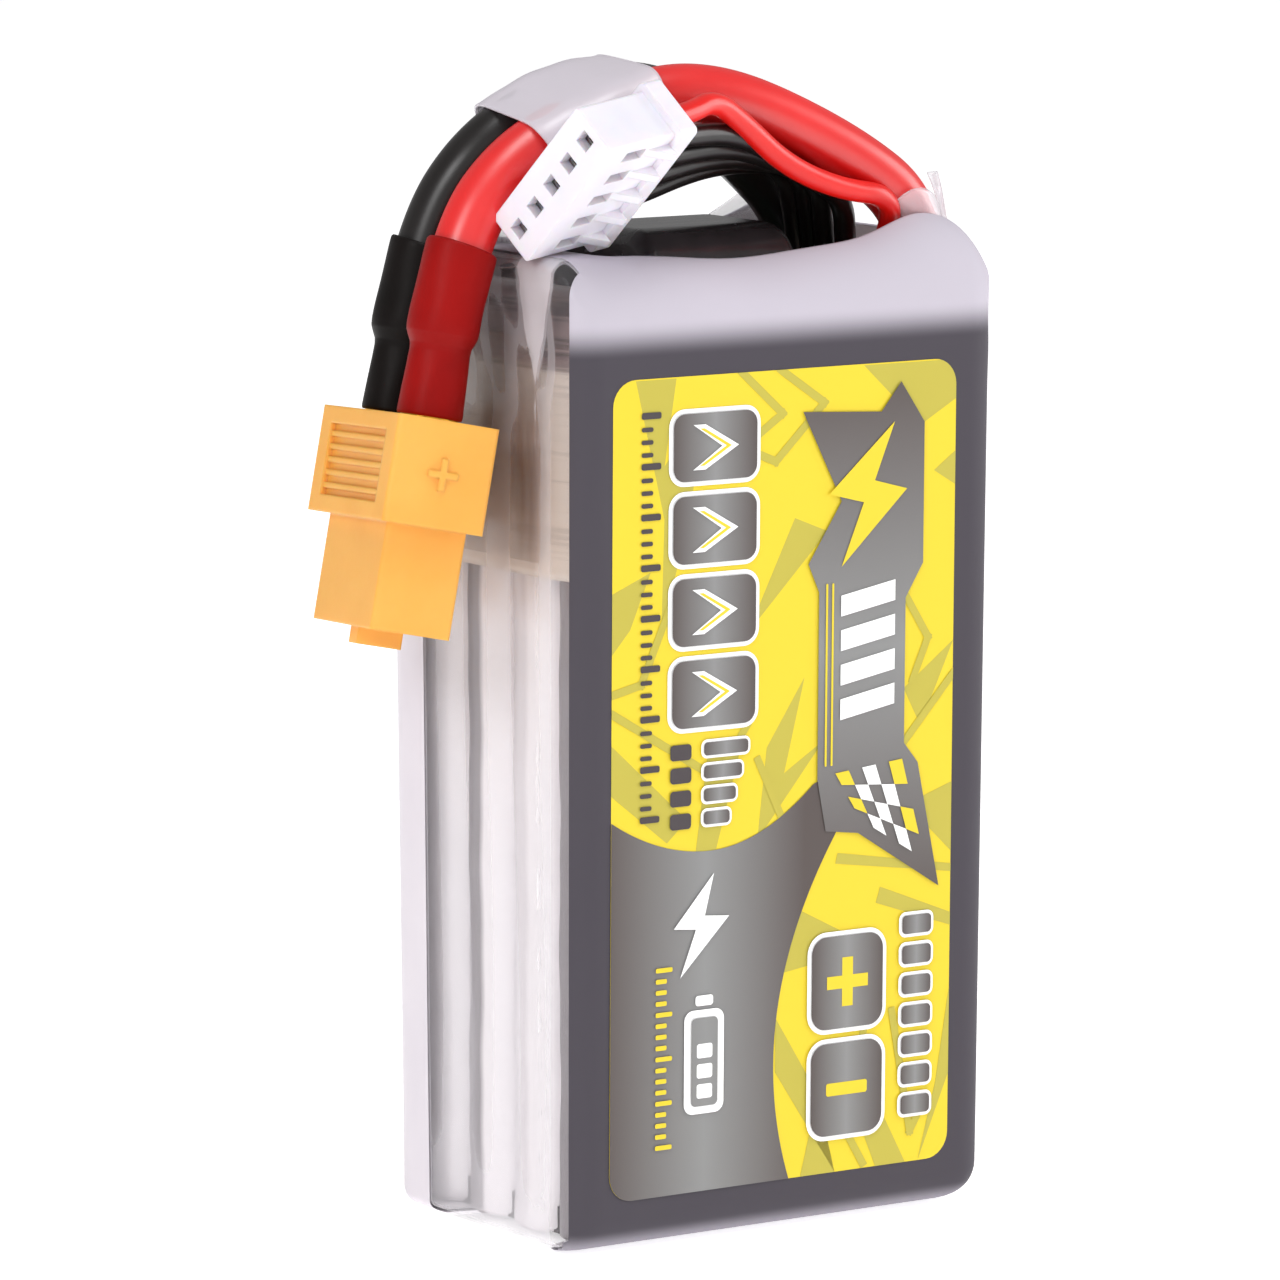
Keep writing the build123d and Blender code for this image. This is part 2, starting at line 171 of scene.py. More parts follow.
# ---------------------------------------------------------------- finishes
@dataclass(frozen=True)
class Finish:
    """A plain moulded or drawn material: a base colour that drifts a little, a gloss and a fine grain.

    Attributes:
        name: the real material and how it was made.
        colour, second: the base colour and the one it drifts to, in sRGB hex.
        drift: size of a patch of drift, in mm.
        roughness: middle roughness.
        grain: size of the surface grain, in mm.
        height: height of that grain, in mm. At 0 the surface has no bump.
        metallic: 1 for bare metal.
        scatter: share of light that enters and scatters, for silicone and nylon.
        scatter_reach: how far it scatters, in mm.
        soften: radius over which hard edges are rounded by the shading, in mm.
        stretch: how much the grain is drawn out along x, y and z.
        specular: the shader's specular level.
    """

    name: str
    colour: str
    second: str
    drift: float = 6.0
    roughness: float = 0.4
    grain: float = 0.5
    height: float = 0.01
    metallic: float = 0.0
    scatter: float = 0.0
    scatter_reach: float = 1.0
    soften: float = 0.0
    stretch: tuple[float, float, float] = (1.0, 1.0, 1.0)
    specular: float = 0.5

    def make(self) -> bpy.types.Material:
        """Builds the material, or returns it where it is there already."""
        if self.name in bpy.data.materials:
            return bpy.data.materials[self.name]
        material = bpy.data.materials.new(self.name)
        material.use_nodes = True
        tree = material.node_tree
        shader = tree.nodes["Principled BSDF"]
        place = add_node(tree, "TexCoord").outputs["Object"]
        patches = add_node(tree, "TexNoise", {"Vector": place, "Scale": 1 / (self.drift * MM), "Detail": 3.0})
        drift = add_ramp(tree, patches.outputs["Fac"], [(0.35, self.colour), (0.7, self.second)])
        tree.links.new(drift, shader.inputs["Base Color"])
        squeeze = tuple(1 / s for s in self.stretch)
        drawn = add_node(tree, "Mapping", {"Vector": place, "Scale": squeeze})
        grain = add_node(tree, "TexNoise", {"Vector": drawn.outputs["Vector"], "Scale": 1 / (self.grain * MM),
                                            "Detail": 4.0, "Roughness": 0.6})
        rough = add_node(tree, "MapRange", {"Value": grain.outputs["Fac"], "To Min": self.roughness * 0.8,
                                            "To Max": self.roughness * 1.2})
        tree.links.new(rough.outputs["Result"], shader.inputs["Roughness"])
        if self.height:
            bump = add_node(tree, "Bump", {"Height": grain.outputs["Fac"], "Distance": self.height * MM})
            if self.soften:
                edge = add_node(tree, "Bevel", {"Radius": self.soften * MM}, samples=6)
                tree.links.new(edge.outputs["Normal"], bump.inputs["Normal"])
            tree.links.new(bump.outputs["Normal"], shader.inputs["Normal"])
        shader.inputs["Metallic"].default_value = self.metallic
        shader.inputs["Specular IOR Level"].default_value = self.specular
        if self.scatter:
            shader.inputs["Subsurface Weight"].default_value = self.scatter
            shader.inputs["Subsurface Radius"].default_value = (1.0, 0.45, 0.25)
            shader.inputs["Subsurface Scale"].default_value = self.scatter_reach * MM
        return material


# Red silicone rubber, extruded: saturated, with a soft broad gloss.
RED_SILICONE = Finish("red extruded silicone", "#e90d0a", "#d90908", 14, 0.36, 2.5, 0.0, specular=1.0)
# The same rubber with carbon black: only its soft gloss shows.
BLACK_SILICONE = Finish("black extruded silicone", "#15100f", "#0f0b0a", 14, 0.34, 2.5, 0.0)
# PVC insulation: a slightly tighter gloss than silicone.
RED_PVC = Finish("red extruded PVC wire", "#e9170f", "#d8100b", 8, 0.32, 2.0, 0.0)
BLACK_PVC = Finish("black extruded PVC wire", "#1b1514", "#130f0f", 8, 0.3, 2.0, 0.0)
# Shrunk polyolefin tube is duller than silicone and faintly dimpled.
RED_POLYOLEFIN = Finish("red shrunk polyolefin tube", "#960b09", "#880908", 5, 0.46, 0.5, 0.008,
                        stretch=(1, 1, 3), specular=0.12)
BLACK_POLYOLEFIN = Finish("black shrunk polyolefin tube", "#120d0c", "#0d0908", 5, 0.46, 0.5, 0.008,
                          stretch=(1, 1, 3), specular=0.12)
# Amber glass-filled nylon, moulded: satin, light soaks in and warms its edges.
AMBER_NYLON = Finish("amber moulded nylon", "#f1b14e", "#eba844", 7, 0.42, 0.35, 0.006,
                     scatter=0.3, scatter_reach=1.2, soften=0.3)
# White nylon, moulded: lets light in, with crisp edges.
WHITE_NYLON = Finish("white moulded nylon", "#ebe7ef", "#e3dfe8", 6, 0.34, 0.3, 0.005,
                     scatter=0.35, scatter_reach=0.9, soften=0.16)
# Metals inside the plugs and the pack: platings are bright, drawn strands and rolled tabs are streaked.
GOLD = Finish("gold plated brass", "#f2c14e", "#e6ab3a", 3, 0.22, 0.4, 0.002, metallic=1.0)
TIN = Finish("tin plated bronze", "#c9c8c6", "#b5b3b0", 3, 0.32, 0.3, 0.003, metallic=1.0)
COPPER = Finish("tinned copper strands", "#cfc7bd", "#b98c66", 2, 0.35, 0.2, 0.02,
                metallic=1.0, stretch=(0.3, 0.3, 2))
SOLDER = Finish("reflowed solder", "#c3c3c6", "#a6a6aa", 2, 0.28, 0.3, 0.01, metallic=1.0)
ALUMINIUM = Finish("rolled aluminium tab", "#d9dade", "#c7c8cc", 4, 0.35, 0.2, 0.004,
                   metallic=1.0, stretch=(1, 1, 8))
NICKEL = Finish("nickel plated copper tab", "#c9c4ba", "#b3aca0", 4, 0.33, 0.2, 0.004,
                metallic=1.0, stretch=(1, 1, 8))
# Hidden sheets and strips: milky polymer, matt green-grey card, green solder mask and white foam tape.
SEAL = Finish("cast polypropylene seal", "#e8e2d6", "#ded6c7", 3, 0.4, 0.3, 0.004)
FISH_PAPER = Finish("calendered fish paper", "#9aa39b", "#8a938c", 3, 0.75, 0.3, 0.02)
BOARD = Finish("green masked circuit board", "#1f5b3a", "#184a2f", 5, 0.4, 0.3, 0.006)
WHITE_TAPE = Finish("white foam mounting tape", "#efece6", "#e4e0d8", 3, 0.7, 0.3, 0.02)
# Closed-cell rubber foam under a tight black tape: dark, slightly glossy and lumpy.
BLACK_FOAM = Finish("black taped rubber foam", "#373234", "#403a3d", 3, 0.26, 2.5, 0.08, stretch=(3, 1, 1))


@dataclass(frozen=True)
class PouchLaminate:
    """Nylon over aluminium foil: bright silver-white, with painted shade on the flank that turns away behind
    each bulge.

    The piece's UV map runs 0 to 1 from the front of each bulge to its back.

    Attributes:
        name: the real material.
        light, shade: its colour on the open flank, and the painted shade on the back flank.
        turn: where along the UV the shade begins and is full.
    """

    name: str
    shade: str
    light: str = "#e9e4e7"
    turn: tuple[float, float] = (0.385, 0.44)

    def make(self) -> bpy.types.Material:
        """Builds the material, with long upright wrinkles from the vacuum seal."""
        if self.name in bpy.data.materials:
            return bpy.data.materials[self.name]
        material = bpy.data.materials.new(self.name)
        material.use_nodes = True
        tree = material.node_tree
        shader = tree.nodes["Principled BSDF"]
        place = add_node(tree, "TexCoord")
        round_way = add_node(tree, "SeparateXYZ", {"Vector": place.outputs["UV"]}).outputs["X"]
        # The ramp paints shade along each bulge: slightly darker at its front edge, then painted shade on its
        # back flank.
        stops = [(0.0, "#d2cccf"), (0.12, self.light), (self.turn[0], "#e2dcdf"), (self.turn[1], self.shade),
                 (0.64, self.shade), (0.85, self.light)]
        colour = add_ramp(tree, round_way, stops)
        upright = add_node(tree, "Mapping", {"Vector": place.outputs["Object"], "Scale": (1.0, 1.0, 0.05)})
        crease = add_node(tree, "TexNoise", {"Vector": upright.outputs["Vector"], "Scale": 1 / (1.6 * MM),
                                             "Detail": 2.0})
        bump = add_node(tree, "Bump", {"Height": crease.outputs["Fac"], "Distance": 0.004 * MM})
        rough = add_node(tree, "MapRange", {"Value": crease.outputs["Fac"], "To Min": 0.26, "To Max": 0.4})
        tree.links.new(colour, shader.inputs["Base Color"])
        tree.links.new(bump.outputs["Normal"], shader.inputs["Normal"])
        tree.links.new(rough.outputs["Result"], shader.inputs["Roughness"])
        shader.inputs["Metallic"].default_value = 0.1
        return material


# Both are silver-white in front. The first and third cells take the darker painted shade on their back flank.
LIGHT_SHADE_POUCH = PouchLaminate("aluminium pouch laminate", "#cdc6ca")
DEEP_SHADE_POUCH = PouchLaminate("aluminium pouch laminate in shadow", "#7f787c")


@dataclass(frozen=True)
class PrintedFilm:
    """Heat-shrink PVC printed grey. It fades to pale lavender on the shoulders, a painted reflection of the
    light, and part way to it at the base.

    Attributes:
        name: the real material.
        grey, lavender: its printed colour, and the pale colour of the painted reflection on the shoulders.
        fade, base_fade: heights between which it fades at the shoulders and at the base, in mm.
        wrinkle: size of its wrinkles, in mm.
    """

    name: str = "grey printed shrink film"
    grey: str = "#4d4950"
    lavender: str = "#c0bac5"
    fade: tuple[float, float] = (67.6, 70.3)
    base_fade: tuple[float, float] = (0.05, 1.7)
    wrinkle: float = 6.25

    def make(self) -> bpy.types.Material:
        """Builds the material: the colour follows the height, and the gloss is that of satin PVC."""
        material = bpy.data.materials.new(self.name)
        material.use_nodes = True
        tree = material.node_tree
        shader = tree.nodes["Principled BSDF"]
        place = add_node(tree, "TexCoord").outputs["Object"]
        height = add_node(tree, "SeparateXYZ", {"Vector": place}).outputs["Z"]
        # Painted reflection: the grey print pales to lavender over the top shoulders.
        top = add_node(tree, "MapRange", {"Value": height, "From Min": self.fade[0] * MM,
                                          "From Max": self.fade[1] * MM}, interpolation_type="SMOOTHSTEP")
        # Towards the base it pales part way to lavender as well.
        base = add_node(tree, "MapRange", {"Value": height, "From Min": self.base_fade[0] * MM,
                                           "From Max": self.base_fade[1] * MM, "To Min": 0.55, "To Max": 0.0},
                        interpolation_type="SMOOTHSTEP")
        share = add_node(tree, "Math", {0: top.outputs["Result"], 1: base.outputs["Result"]},
                         operation="MAXIMUM")
        mix = add_node(tree, "Mix", {"Factor": share.outputs["Value"], 6: linear(self.grey),
                                     7: linear(self.lavender)}, data_type="RGBA")
        tree.links.new(mix.outputs[2], shader.inputs["Base Color"])
        wrinkle = add_node(tree, "TexNoise", {"Vector": place, "Scale": 1 / (self.wrinkle * MM),
                                              "Detail": 2.0})
        bump = add_node(tree, "Bump", {"Height": wrinkle.outputs["Fac"], "Distance": 0.03 * MM})
        tree.links.new(bump.outputs["Normal"], shader.inputs["Normal"])
        rough = add_node(tree, "MapRange", {"Value": wrinkle.outputs["Fac"], "To Min": 0.5, "To Max": 0.62})
        tree.links.new(rough.outputs["Result"], shader.inputs["Roughness"])
        shader.inputs["Specular IOR Level"].default_value = 0.08
        return material


@dataclass(frozen=True)
class ClearFilm:
    """A thin see-through film: nearly clear face on, more mirror-like at a grazing angle.

    Attributes:
        name: the real material.
        colour: its faint tint.
        haze: opacity face on.
        edge: opacity added at a grazing angle.
        roughness: how soft its reflections are.
        ripple, height: size and height of its ripples, in mm.
        glint: a painted highlight, a whitened wedge on the -X side, or None. Its middle y, lowest z, height
            and half width at its top, in mm.
    """

    name: str
    colour: str = "#f3eff4"
    haze: float = 0.03
    edge: float = 0.3
    roughness: float = 0.12
    ripple: float = 3.0
    height: float = 0.008
    glint: tuple[float, float, float, float] | None = None

    def make(self) -> bpy.types.Material:
        """Builds the material."""
        if self.name in bpy.data.materials:
            return bpy.data.materials[self.name]
        material = bpy.data.materials.new(self.name)
        material.use_nodes = True
        tree = material.node_tree
        shader = tree.nodes["Principled BSDF"]
        place = add_node(tree, "TexCoord").outputs["Object"]
        ripple = add_node(tree, "TexNoise", {"Vector": place, "Scale": 1 / (self.ripple * MM), "Detail": 2.0})
        bump = add_node(tree, "Bump", {"Height": ripple.outputs["Fac"], "Distance": self.height * MM})
        tree.links.new(bump.outputs["Normal"], shader.inputs["Normal"])
        rim = add_node(tree, "LayerWeight", {"Blend": 0.15, "Normal": bump.outputs["Normal"]})
        alpha = add_node(tree, "Math", {0: rim.outputs["Fresnel"], 1: self.edge, 2: self.haze},
                         operation="MULTIPLY_ADD", use_clamp=True)
        # The glint paints a highlight: a wedge on the -X side where the film turns opaque white.
        if self.glint:
            y, z, tall, wide = (value * MM for value in self.glint)
            parts = add_node(tree, "SeparateXYZ", {"Vector": place})
            width = add_node(tree, "MapRange", {"Value": parts.outputs["Z"], "From Min": z,
                                                "From Max": z + tall, "To Max": wide})
            off = add_node(tree, "Math", {0: parts.outputs["Y"], 1: y}, operation="SUBTRACT")
            off = add_node(tree, "Math", {0: off.outputs[0]}, operation="ABSOLUTE")
            jitter = add_node(tree, "Math", {0: ripple.outputs["Fac"], 1: 1.2 * MM, 2: off.outputs[0]},
                              operation="MULTIPLY_ADD")
            inside = add_node(tree, "Math", {0: width.outputs["Result"], 1: jitter.outputs[0]},
                              operation="SUBTRACT")
            left = add_node(tree, "MapRange", {"Value": parts.outputs["X"], "From Min": -17.5 * MM,
                                               "From Max": -18.5 * MM})
            mask = add_node(tree, "MapRange", {"Value": inside.outputs[0], "From Min": -0.7 * MM,
                                               "From Max": -0.4 * MM, "To Max": 0.5},
                            interpolation_type="SMOOTHSTEP")
            white = add_node(tree, "Math", {0: mask.outputs["Result"], 1: left.outputs["Result"]},
                             operation="MULTIPLY")
            alpha = add_node(tree, "Math", {0: alpha.outputs[0], 1: white.outputs[0]}, operation="MAXIMUM")
        shader.inputs["Base Color"].default_value = linear(self.colour)
        tree.links.new(alpha.outputs[0], shader.inputs["Alpha"])
        shader.inputs["Roughness"].default_value = self.roughness
        shader.inputs["Specular IOR Level"].default_value = 1.0
        return material


@dataclass(frozen=True)
class FibreTape:
    """Glass-fibre strapping tape: hazy film with level strands, dark over the board, with a brown stain.

    Attributes:
        name: the real material.
        pale, shadow: its colour over the cells and over the board.
        brown, strand: the colours of the stain and of the strands.
        haze: its middle opacity.
        strand_gap: distance between strands, in mm.
        dark_from: height in mm above which the board's shadow shows through.
        stain: middle (y, z) and half sizes of the brown stain, in mm.
    """

    name: str = "glass fibre strapping tape"
    pale: str = "#ddd0c6"
    shadow: str = "#86706f"
    brown: str = "#8a5a34"
    strand: str = "#4b3c39"
    haze: float = 0.86
    strand_gap: float = 0.75
    dark_from: tuple[float, float] = (66.0, 67.2)
    stain: tuple[float, float, float, float] = (-2.5, 58.5, 7.0, 9.5)

    def make(self) -> bpy.types.Material:
        """Builds the material. The stain is strong where a soft oval and an upright streaky noise meet."""
        material = bpy.data.materials.new(self.name)
        material.use_nodes = True
        tree = material.node_tree
        shader = tree.nodes["Principled BSDF"]
        place = add_node(tree, "TexCoord").outputs["Object"]
        parts = add_node(tree, "SeparateXYZ", {"Vector": place})
        level = add_node(tree, "Mapping", {"Vector": place, "Scale": (0.03, 0.03, 1.0)})
        strands = add_node(tree, "TexNoise", {"Vector": level.outputs["Vector"],
                                              "Scale": 1 / (self.strand_gap * MM), "Detail": 3.0,
                                              "Roughness": 0.65}).outputs["Fac"]
        under = add_node(tree, "MapRange", {"Value": parts.outputs["Z"], "From Min": self.dark_from[0] * MM,
                                            "From Max": self.dark_from[1] * MM},
                         interpolation_type="SMOOTHSTEP")
        ground = add_node(tree, "Mix", {"Factor": under.outputs["Result"], 6: linear(self.pale),
                                        7: linear(self.shadow)}, data_type="RGBA").outputs[2]
        y, z, wide, tall = (value * MM for value in self.stain)
        oval = add_node(tree, "Mapping", {"Vector": place, "Location": (0.0, -y / wide, -z / tall),
                                          "Scale": (0.0, 1 / wide, 1 / tall)})
        reach = add_node(tree, "VectorMath", {0: oval.outputs["Vector"]}, operation="LENGTH").outputs["Value"]
        near = add_node(tree, "MapRange", {"Value": reach, "From Min": 1.1, "From Max": 0.35},
                        interpolation_type="SMOOTHSTEP").outputs["Result"]
        upright = add_node(tree, "Mapping", {"Vector": place, "Scale": (0.3, 1.0, 0.2)})
        streaks = add_node(tree, "TexNoise", {"Vector": upright.outputs["Vector"], "Scale": 1 / (3.2 * MM),
                                              "Detail": 2.0}).outputs["Fac"]
        strong = add_node(tree, "MapRange", {"Value": streaks, "From Min": 0.4, "From Max": 0.66,
                                             "To Max": 0.9}).outputs["Result"]
        share = add_node(tree, "Math", {0: near, 1: strong}, operation="MULTIPLY").outputs[0]
        stained = add_node(tree, "Mix", {"Factor": share, 6: ground, 7: linear(self.brown)},
                           data_type="RGBA").outputs[2]
        thread = add_node(tree, "MapRange", {"Value": strands, "From Min": 0.5, "From Max": 0.66,
                                             "To Max": 0.9})
        under_thread = add_node(tree, "MapRange", {"Value": under.outputs["Result"], "To Min": 0.3,
                                                   "To Max": 1.0})
        dark = add_node(tree, "Math", {0: thread.outputs["Result"], 1: under_thread.outputs["Result"]},
                        operation="MULTIPLY").outputs[0]
        colour = add_node(tree, "Mix", {"Factor": dark, 6: stained, 7: linear(self.strand)},
                          data_type="RGBA").outputs[2]
        tree.links.new(colour, shader.inputs["Base Color"])
        alpha = add_node(tree, "MapRange", {"Value": strands, "To Min": self.haze - 0.12,
                                            "To Max": self.haze + 0.12})
        tree.links.new(alpha.outputs["Result"], shader.inputs["Alpha"])
        bump = add_node(tree, "Bump", {"Height": strands, "Distance": 0.03 * MM})
        tree.links.new(bump.outputs["Normal"], shader.inputs["Normal"])
        shader.inputs["Roughness"].default_value = 0.3
        return material


# PVC shrink film left unprinted over the narrow sides: clear, glossy, slightly milky.
# Its glint is a painted highlight near the top of the left side, where the film turns opaque white.
CLEAR_PVC = ClearFilm("clear shrink film", glint=(-8.6, 65.2, 9.0, 2.5))
# A loose end of the same film, creased and whiter.
LOOSE_FILM = ClearFilm("loose end of shrink film", "#f0ecf2", 0.3, 0.5, 0.2, 2.0, 0.08)
# Thin brown polyimide: nearly clear, so that it only tints what it lies on.
POLYIMIDE_FILM = ClearFilm("brown polyimide tape", "#9a6a44", 0.12, 0.1, 0.2, 2.0, 0.005)
# Clear shrink tube over the two leads: milky lilac-white.
MILKY_TUBE = ClearFilm("milky shrink tube", "#e6dfe8", 0.72, 0.28, 0.35, 2.5, 0.06)
# The film's unprinted edge, lapped over the back corners: milky lilac.
LAPPED_FILM = Finish("lapped edge of the shrink film", "#dcd5dc", "#d6cfd7", 8, 0.35, 2.0, 0.0)
# The white ink under the print, seen on the inside of the film.
WHITE_BACKING = Finish("white underprint of the film", "#f0edf1", "#e8e4ea", 8, 0.4, 1.0, 0.01)
# Places of the film's outer finishes among its material slots.
PRINTED_SLOT, CLEAR_SLOT, LAPPED_SLOT = 0, 1, 4
# Fineness of the inks' change of gloss, in patches per metre.
INK_SPECKS = 900.0


class Ink(Enum):
    """The label's printing inks, and the colour of each."""

    YELLOW = "#e6cd31"
    OCHRE = "#bdb046"
    WHITE = "#ffffff"
    DARK = "#484144"
    SHADED = "#8a8a8a"

    def make(self) -> bpy.types.Material:
        """Builds the ink under a satin lamination. The shaded ink is dark, light, dark along the UV's x."""
        name = f"{self.name.lower()} ink under satin lamination"
        if name in bpy.data.materials:
            return bpy.data.materials[name]
        material = bpy.data.materials.new(name)
        material.use_nodes = True
        tree = material.node_tree
        shader = tree.nodes["Principled BSDF"]
        place = add_node(tree, "TexCoord")
        speck = add_node(tree, "TexNoise", {"Vector": place.outputs["Object"], "Scale": INK_SPECKS,
                                           "Detail": 2.0})
        if self is Ink.SHADED:
            along = add_node(tree, "SeparateXYZ", {"Vector": place.outputs["UV"]}).outputs["X"]
            colour = add_ramp(tree, along, [(0.0, "#564d4b"), (0.5, self.value), (1.0, "#564d4b")])
            tree.links.new(colour, shader.inputs["Base Color"])
        else:
            shader.inputs["Base Color"].default_value = linear(self.value)
        rough = add_node(tree, "MapRange", {"Value": speck.outputs["Fac"], "To Min": 0.4, "To Max": 0.5})
        tree.links.new(rough.outputs["Result"], shader.inputs["Roughness"])
        shader.inputs["Specular IOR Level"].default_value = 0.3
        return material


# ---------------------------------------------------------------- flexible leads
@dataclass
class Cord:
    """One free lead or wire: a NURBS line of order 3 that its route's points pull into shape.

    Attributes:
        name: the CAD node that it replaces.
        route: the route's points, in mm, from the board end to the plug end.
        diameter, length: its real size, in mm. The length is not used.
        finish: its insulation.
        lay: how it lies. Not used.
        line: points along its centre, in mm, once it is built.
    """

    name: str
    route: list[tuple[float, float, float]]
    diameter: float
    length: float
    finish: Finish
    far_end: str
    lay: str = "hanging"
    line: Array = field(default_factory=lambda: np.zeros((0, 3)))

    def build(self) -> bpy.types.Object:
        """Makes the curve and reads its centreline.

        Returns:
            The curve object.
        """
        curve = bpy.data.curves.new(self.name + "_lead", "CURVE")
        curve.dimensions = "3D"
        spline = curve.splines.new("NURBS")
        spline.points.add(len(self.route) - 1)
        for point, place in zip(spline.points, self.route):
            point.co = (*(c * MM for c in place), 1.0)
        spline.order_u = 3
        spline.use_endpoint_u = True
        curve.resolution_u = curve.render_resolution_u = 24
        made = bpy.data.objects.new(self.name + "_lead", curve)
        bpy.context.scene.collection.objects.link(made)
        mesh = bpy.data.meshes.new_from_object(made)
        self.line = np.array([v.co for v in mesh.vertices]) / MM
        bpy.data.meshes.remove(mesh)
        curve.bevel_depth = self.diameter / 2 * MM
        curve.bevel_resolution = 7
        curve.use_fill_caps = True
        curve.materials.append(self.finish.make())
        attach(made, BODY)
        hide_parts(self.name)
        return made


def stretch_of(line: Array, start: float, count: int) -> Array:
    """The last part of a line, evenly spaced.

    Args:
        line: N x 3 points.
        start: how far from the line's end it begins.
        count: how many points to return.
    Returns:
        count x 3 points, the first of them start before the end.
    """
    steps = np.linalg.norm(np.diff(line, axis=0), axis=1)
    run = np.concatenate([[0], np.cumsum(steps)])
    wanted = np.linspace(run[-1] - start, run[-1], count)
    return np.stack([np.interp(wanted, run, line[:, i]) for i in range(3)], -1)


def tube_frames(line: Array, side: Array) -> tuple[Array, Array]:
    """Two directions square to a line at each of its points.

    Args:
        line: N x 3 points.
        side: the fixed direction that the first one keeps near to.
    Returns:
        The side direction less its part along the line, and the cross product of the line with it.
    """
    way = unit(np.gradient(line, axis=0))
    first = unit(side - (way @ side)[:, None] * way)
    return first, np.cross(way, first)


@dataclass
class ShrinkTube:
    """A heat-shrink tube over a lead's end: wide over the solder cup, with a step down on to the lead.

    Attributes:
        name: the CAD node that it replaces.
        cord: the lead that it is on.
        finish: its colour.
        reach: its length, in mm.
        run_on: how far past the lead's end it ends, at the plug, in mm.
        widths: fraction of its length and radius, in mm, of each ring of its outline.
        sides, samples: points round a ring, and points read along the lead.
    """

    name: str
    cord: Cord
    finish: Finish
    reach: float = 12.9
    run_on: float = 6.3
    widths: tuple[tuple[float, float], ...] = (
        (0.0, 2.28), (0.0, 2.6), (0.012, 2.72), (0.04, 2.74), (0.3, 2.7), (0.47, 2.74), (0.515, 2.7),
        (0.55, 2.52), (0.585, 2.32), (0.62, 2.27), (0.72, 2.33), (0.86, 2.42), (0.985, 2.48), (1.0, 2.4),
        (1.0, 1.7))
    sides: int = 48
    samples: int = 200

    def build(self) -> bpy.types.Object:
        """Makes the tube, faintly dimpled: a point is line(v) + r(u, v) (cos u * first + sin u * second)."""
        at, radius = np.array(self.widths).T
        steps = np.linspace(0, len(at) - 1, (len(at) - 1) * 4 + 1)
        fine = np.interp(steps, np.arange(len(at)), at)
        wide = np.interp(steps, np.arange(len(at)), radius)
        last = self.cord.line[-1]
        way = unit(last - self.cord.line[-2])
        whole = np.concatenate([self.cord.line, last + way * np.linspace(0.3, self.run_on, 12)[:, None]])
        dense = stretch_of(whole, self.reach, self.samples)
        run = np.linspace(0, 1, self.samples)
        line = np.stack([np.interp(fine, run, dense[:, i]) for i in range(3)], -1)
        whole_first, whole_second = tube_frames(dense, np.array([0.0, 1.0, 0.0]))
        first = unit(np.stack([np.interp(fine, run, whole_first[:, i]) for i in range(3)], -1))
        second = unit(np.stack([np.interp(fine, run, whole_second[:, i]) for i in range(3)], -1))
        turn = np.linspace(0, 2 * np.pi, self.sides, endpoint=False)
        dimple = (1 + 0.012 * np.sin(3 * turn[None] + 9 * fine[:, None])
                  + 0.008 * np.sin(5 * turn[None] - 14 * fine[:, None]))
        ring = wide[:, None] * dimple
        verts = line[:, None] + ring[..., None] * (np.cos(turn)[None, :, None] * first[:, None]
                                                   + np.sin(turn)[None, :, None] * second[:, None])
        made = new_object(self.name + "_tube", verts, grid_faces(len(fine), self.sides), [self.finish.make()])
        add_modifier(made, "SUBSURF", levels=1, render_levels=1)
        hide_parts(self.name)
        return made


@dataclass
class LeadBand:
    """The milky sleeve that holds the two main leads together: a racetrack outline carried along them.

    Attributes:
        positive, negative: the two leads.
        start, end: the fractions of each lead's length at which it starts and ends.
        wall: how far it stands off the leads, in mm.
        rings, sides: points along it and round it.
    """

    positive: Cord
    negative: Cord
    start: tuple[float, float] = (0.512, 0.548)
    end: tuple[float, float] = (0.69, 0.722)
    wall: float = 0.42
    rings: int = 46
    sides: int = 72

    def build(self) -> bpy.types.Object:
        """Makes the sleeve.

        With c the middle of the leads, g half the distance between them and R their radius and the wall, a
        point is c + (g tanh(4 cos u) + R cos u) across + R sin u lift. R flares by 5 percent at both ends.
        """
        share = np.linspace(0, 1, self.rings)

        def along(cord: Cord, low: float, high: float) -> Array:
            """Points of one lead between two fractions of its length."""
            steps = np.linalg.norm(np.diff(cord.line, axis=0), axis=1)
            run = np.concatenate([[0], np.cumsum(steps)]) / steps.sum()
            wanted = low + (high - low) * share
            return np.stack([np.interp(wanted, run, cord.line[:, i]) for i in range(3)], -1)

        one = along(self.positive, self.start[0], self.end[0])
        two = along(self.negative, self.start[1], self.end[1])
        middle, half = (one + two) / 2, (two - one) / 2
        way = unit(np.gradient(middle, axis=0))
        across = unit(half - (half * way).sum(1, keepdims=True) * way)
        lift = np.cross(way, across)
        turn = np.linspace(0, 2 * np.pi, self.sides, endpoint=False)
        flare = 1 + 0.05 * np.exp(-share / 0.04) + 0.05 * np.exp(-(1 - share) / 0.04)
        crease = 0.07 * np.sin(2 * turn[None] + 7 * share[:, None]) * np.sin(11 * share[:, None] + 1)
        radius = (self.positive.diameter / 2 + self.wall) * flare[:, None] + crease
        gap = np.linalg.norm(half, axis=1)[:, None]
        out = gap * np.tanh(4 * np.cos(turn))[None] + radius * np.cos(turn)[None]
        up = radius * np.sin(turn)[None] * (1 - 0.05 * np.exp(-(np.cos(turn) / 0.35) ** 2))[None]
        verts = middle[:, None] + out[..., None] * across[:, None] + up[..., None] * lift[:, None]
        made = new_object("lead_band_sleeve", verts, grid_faces(self.rings, self.sides), [MILKY_TUBE.make()])
        add_modifier(made, "SOLIDIFY", thickness=0.2 * MM, offset=-1.0)
        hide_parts("lead_band")
        return made


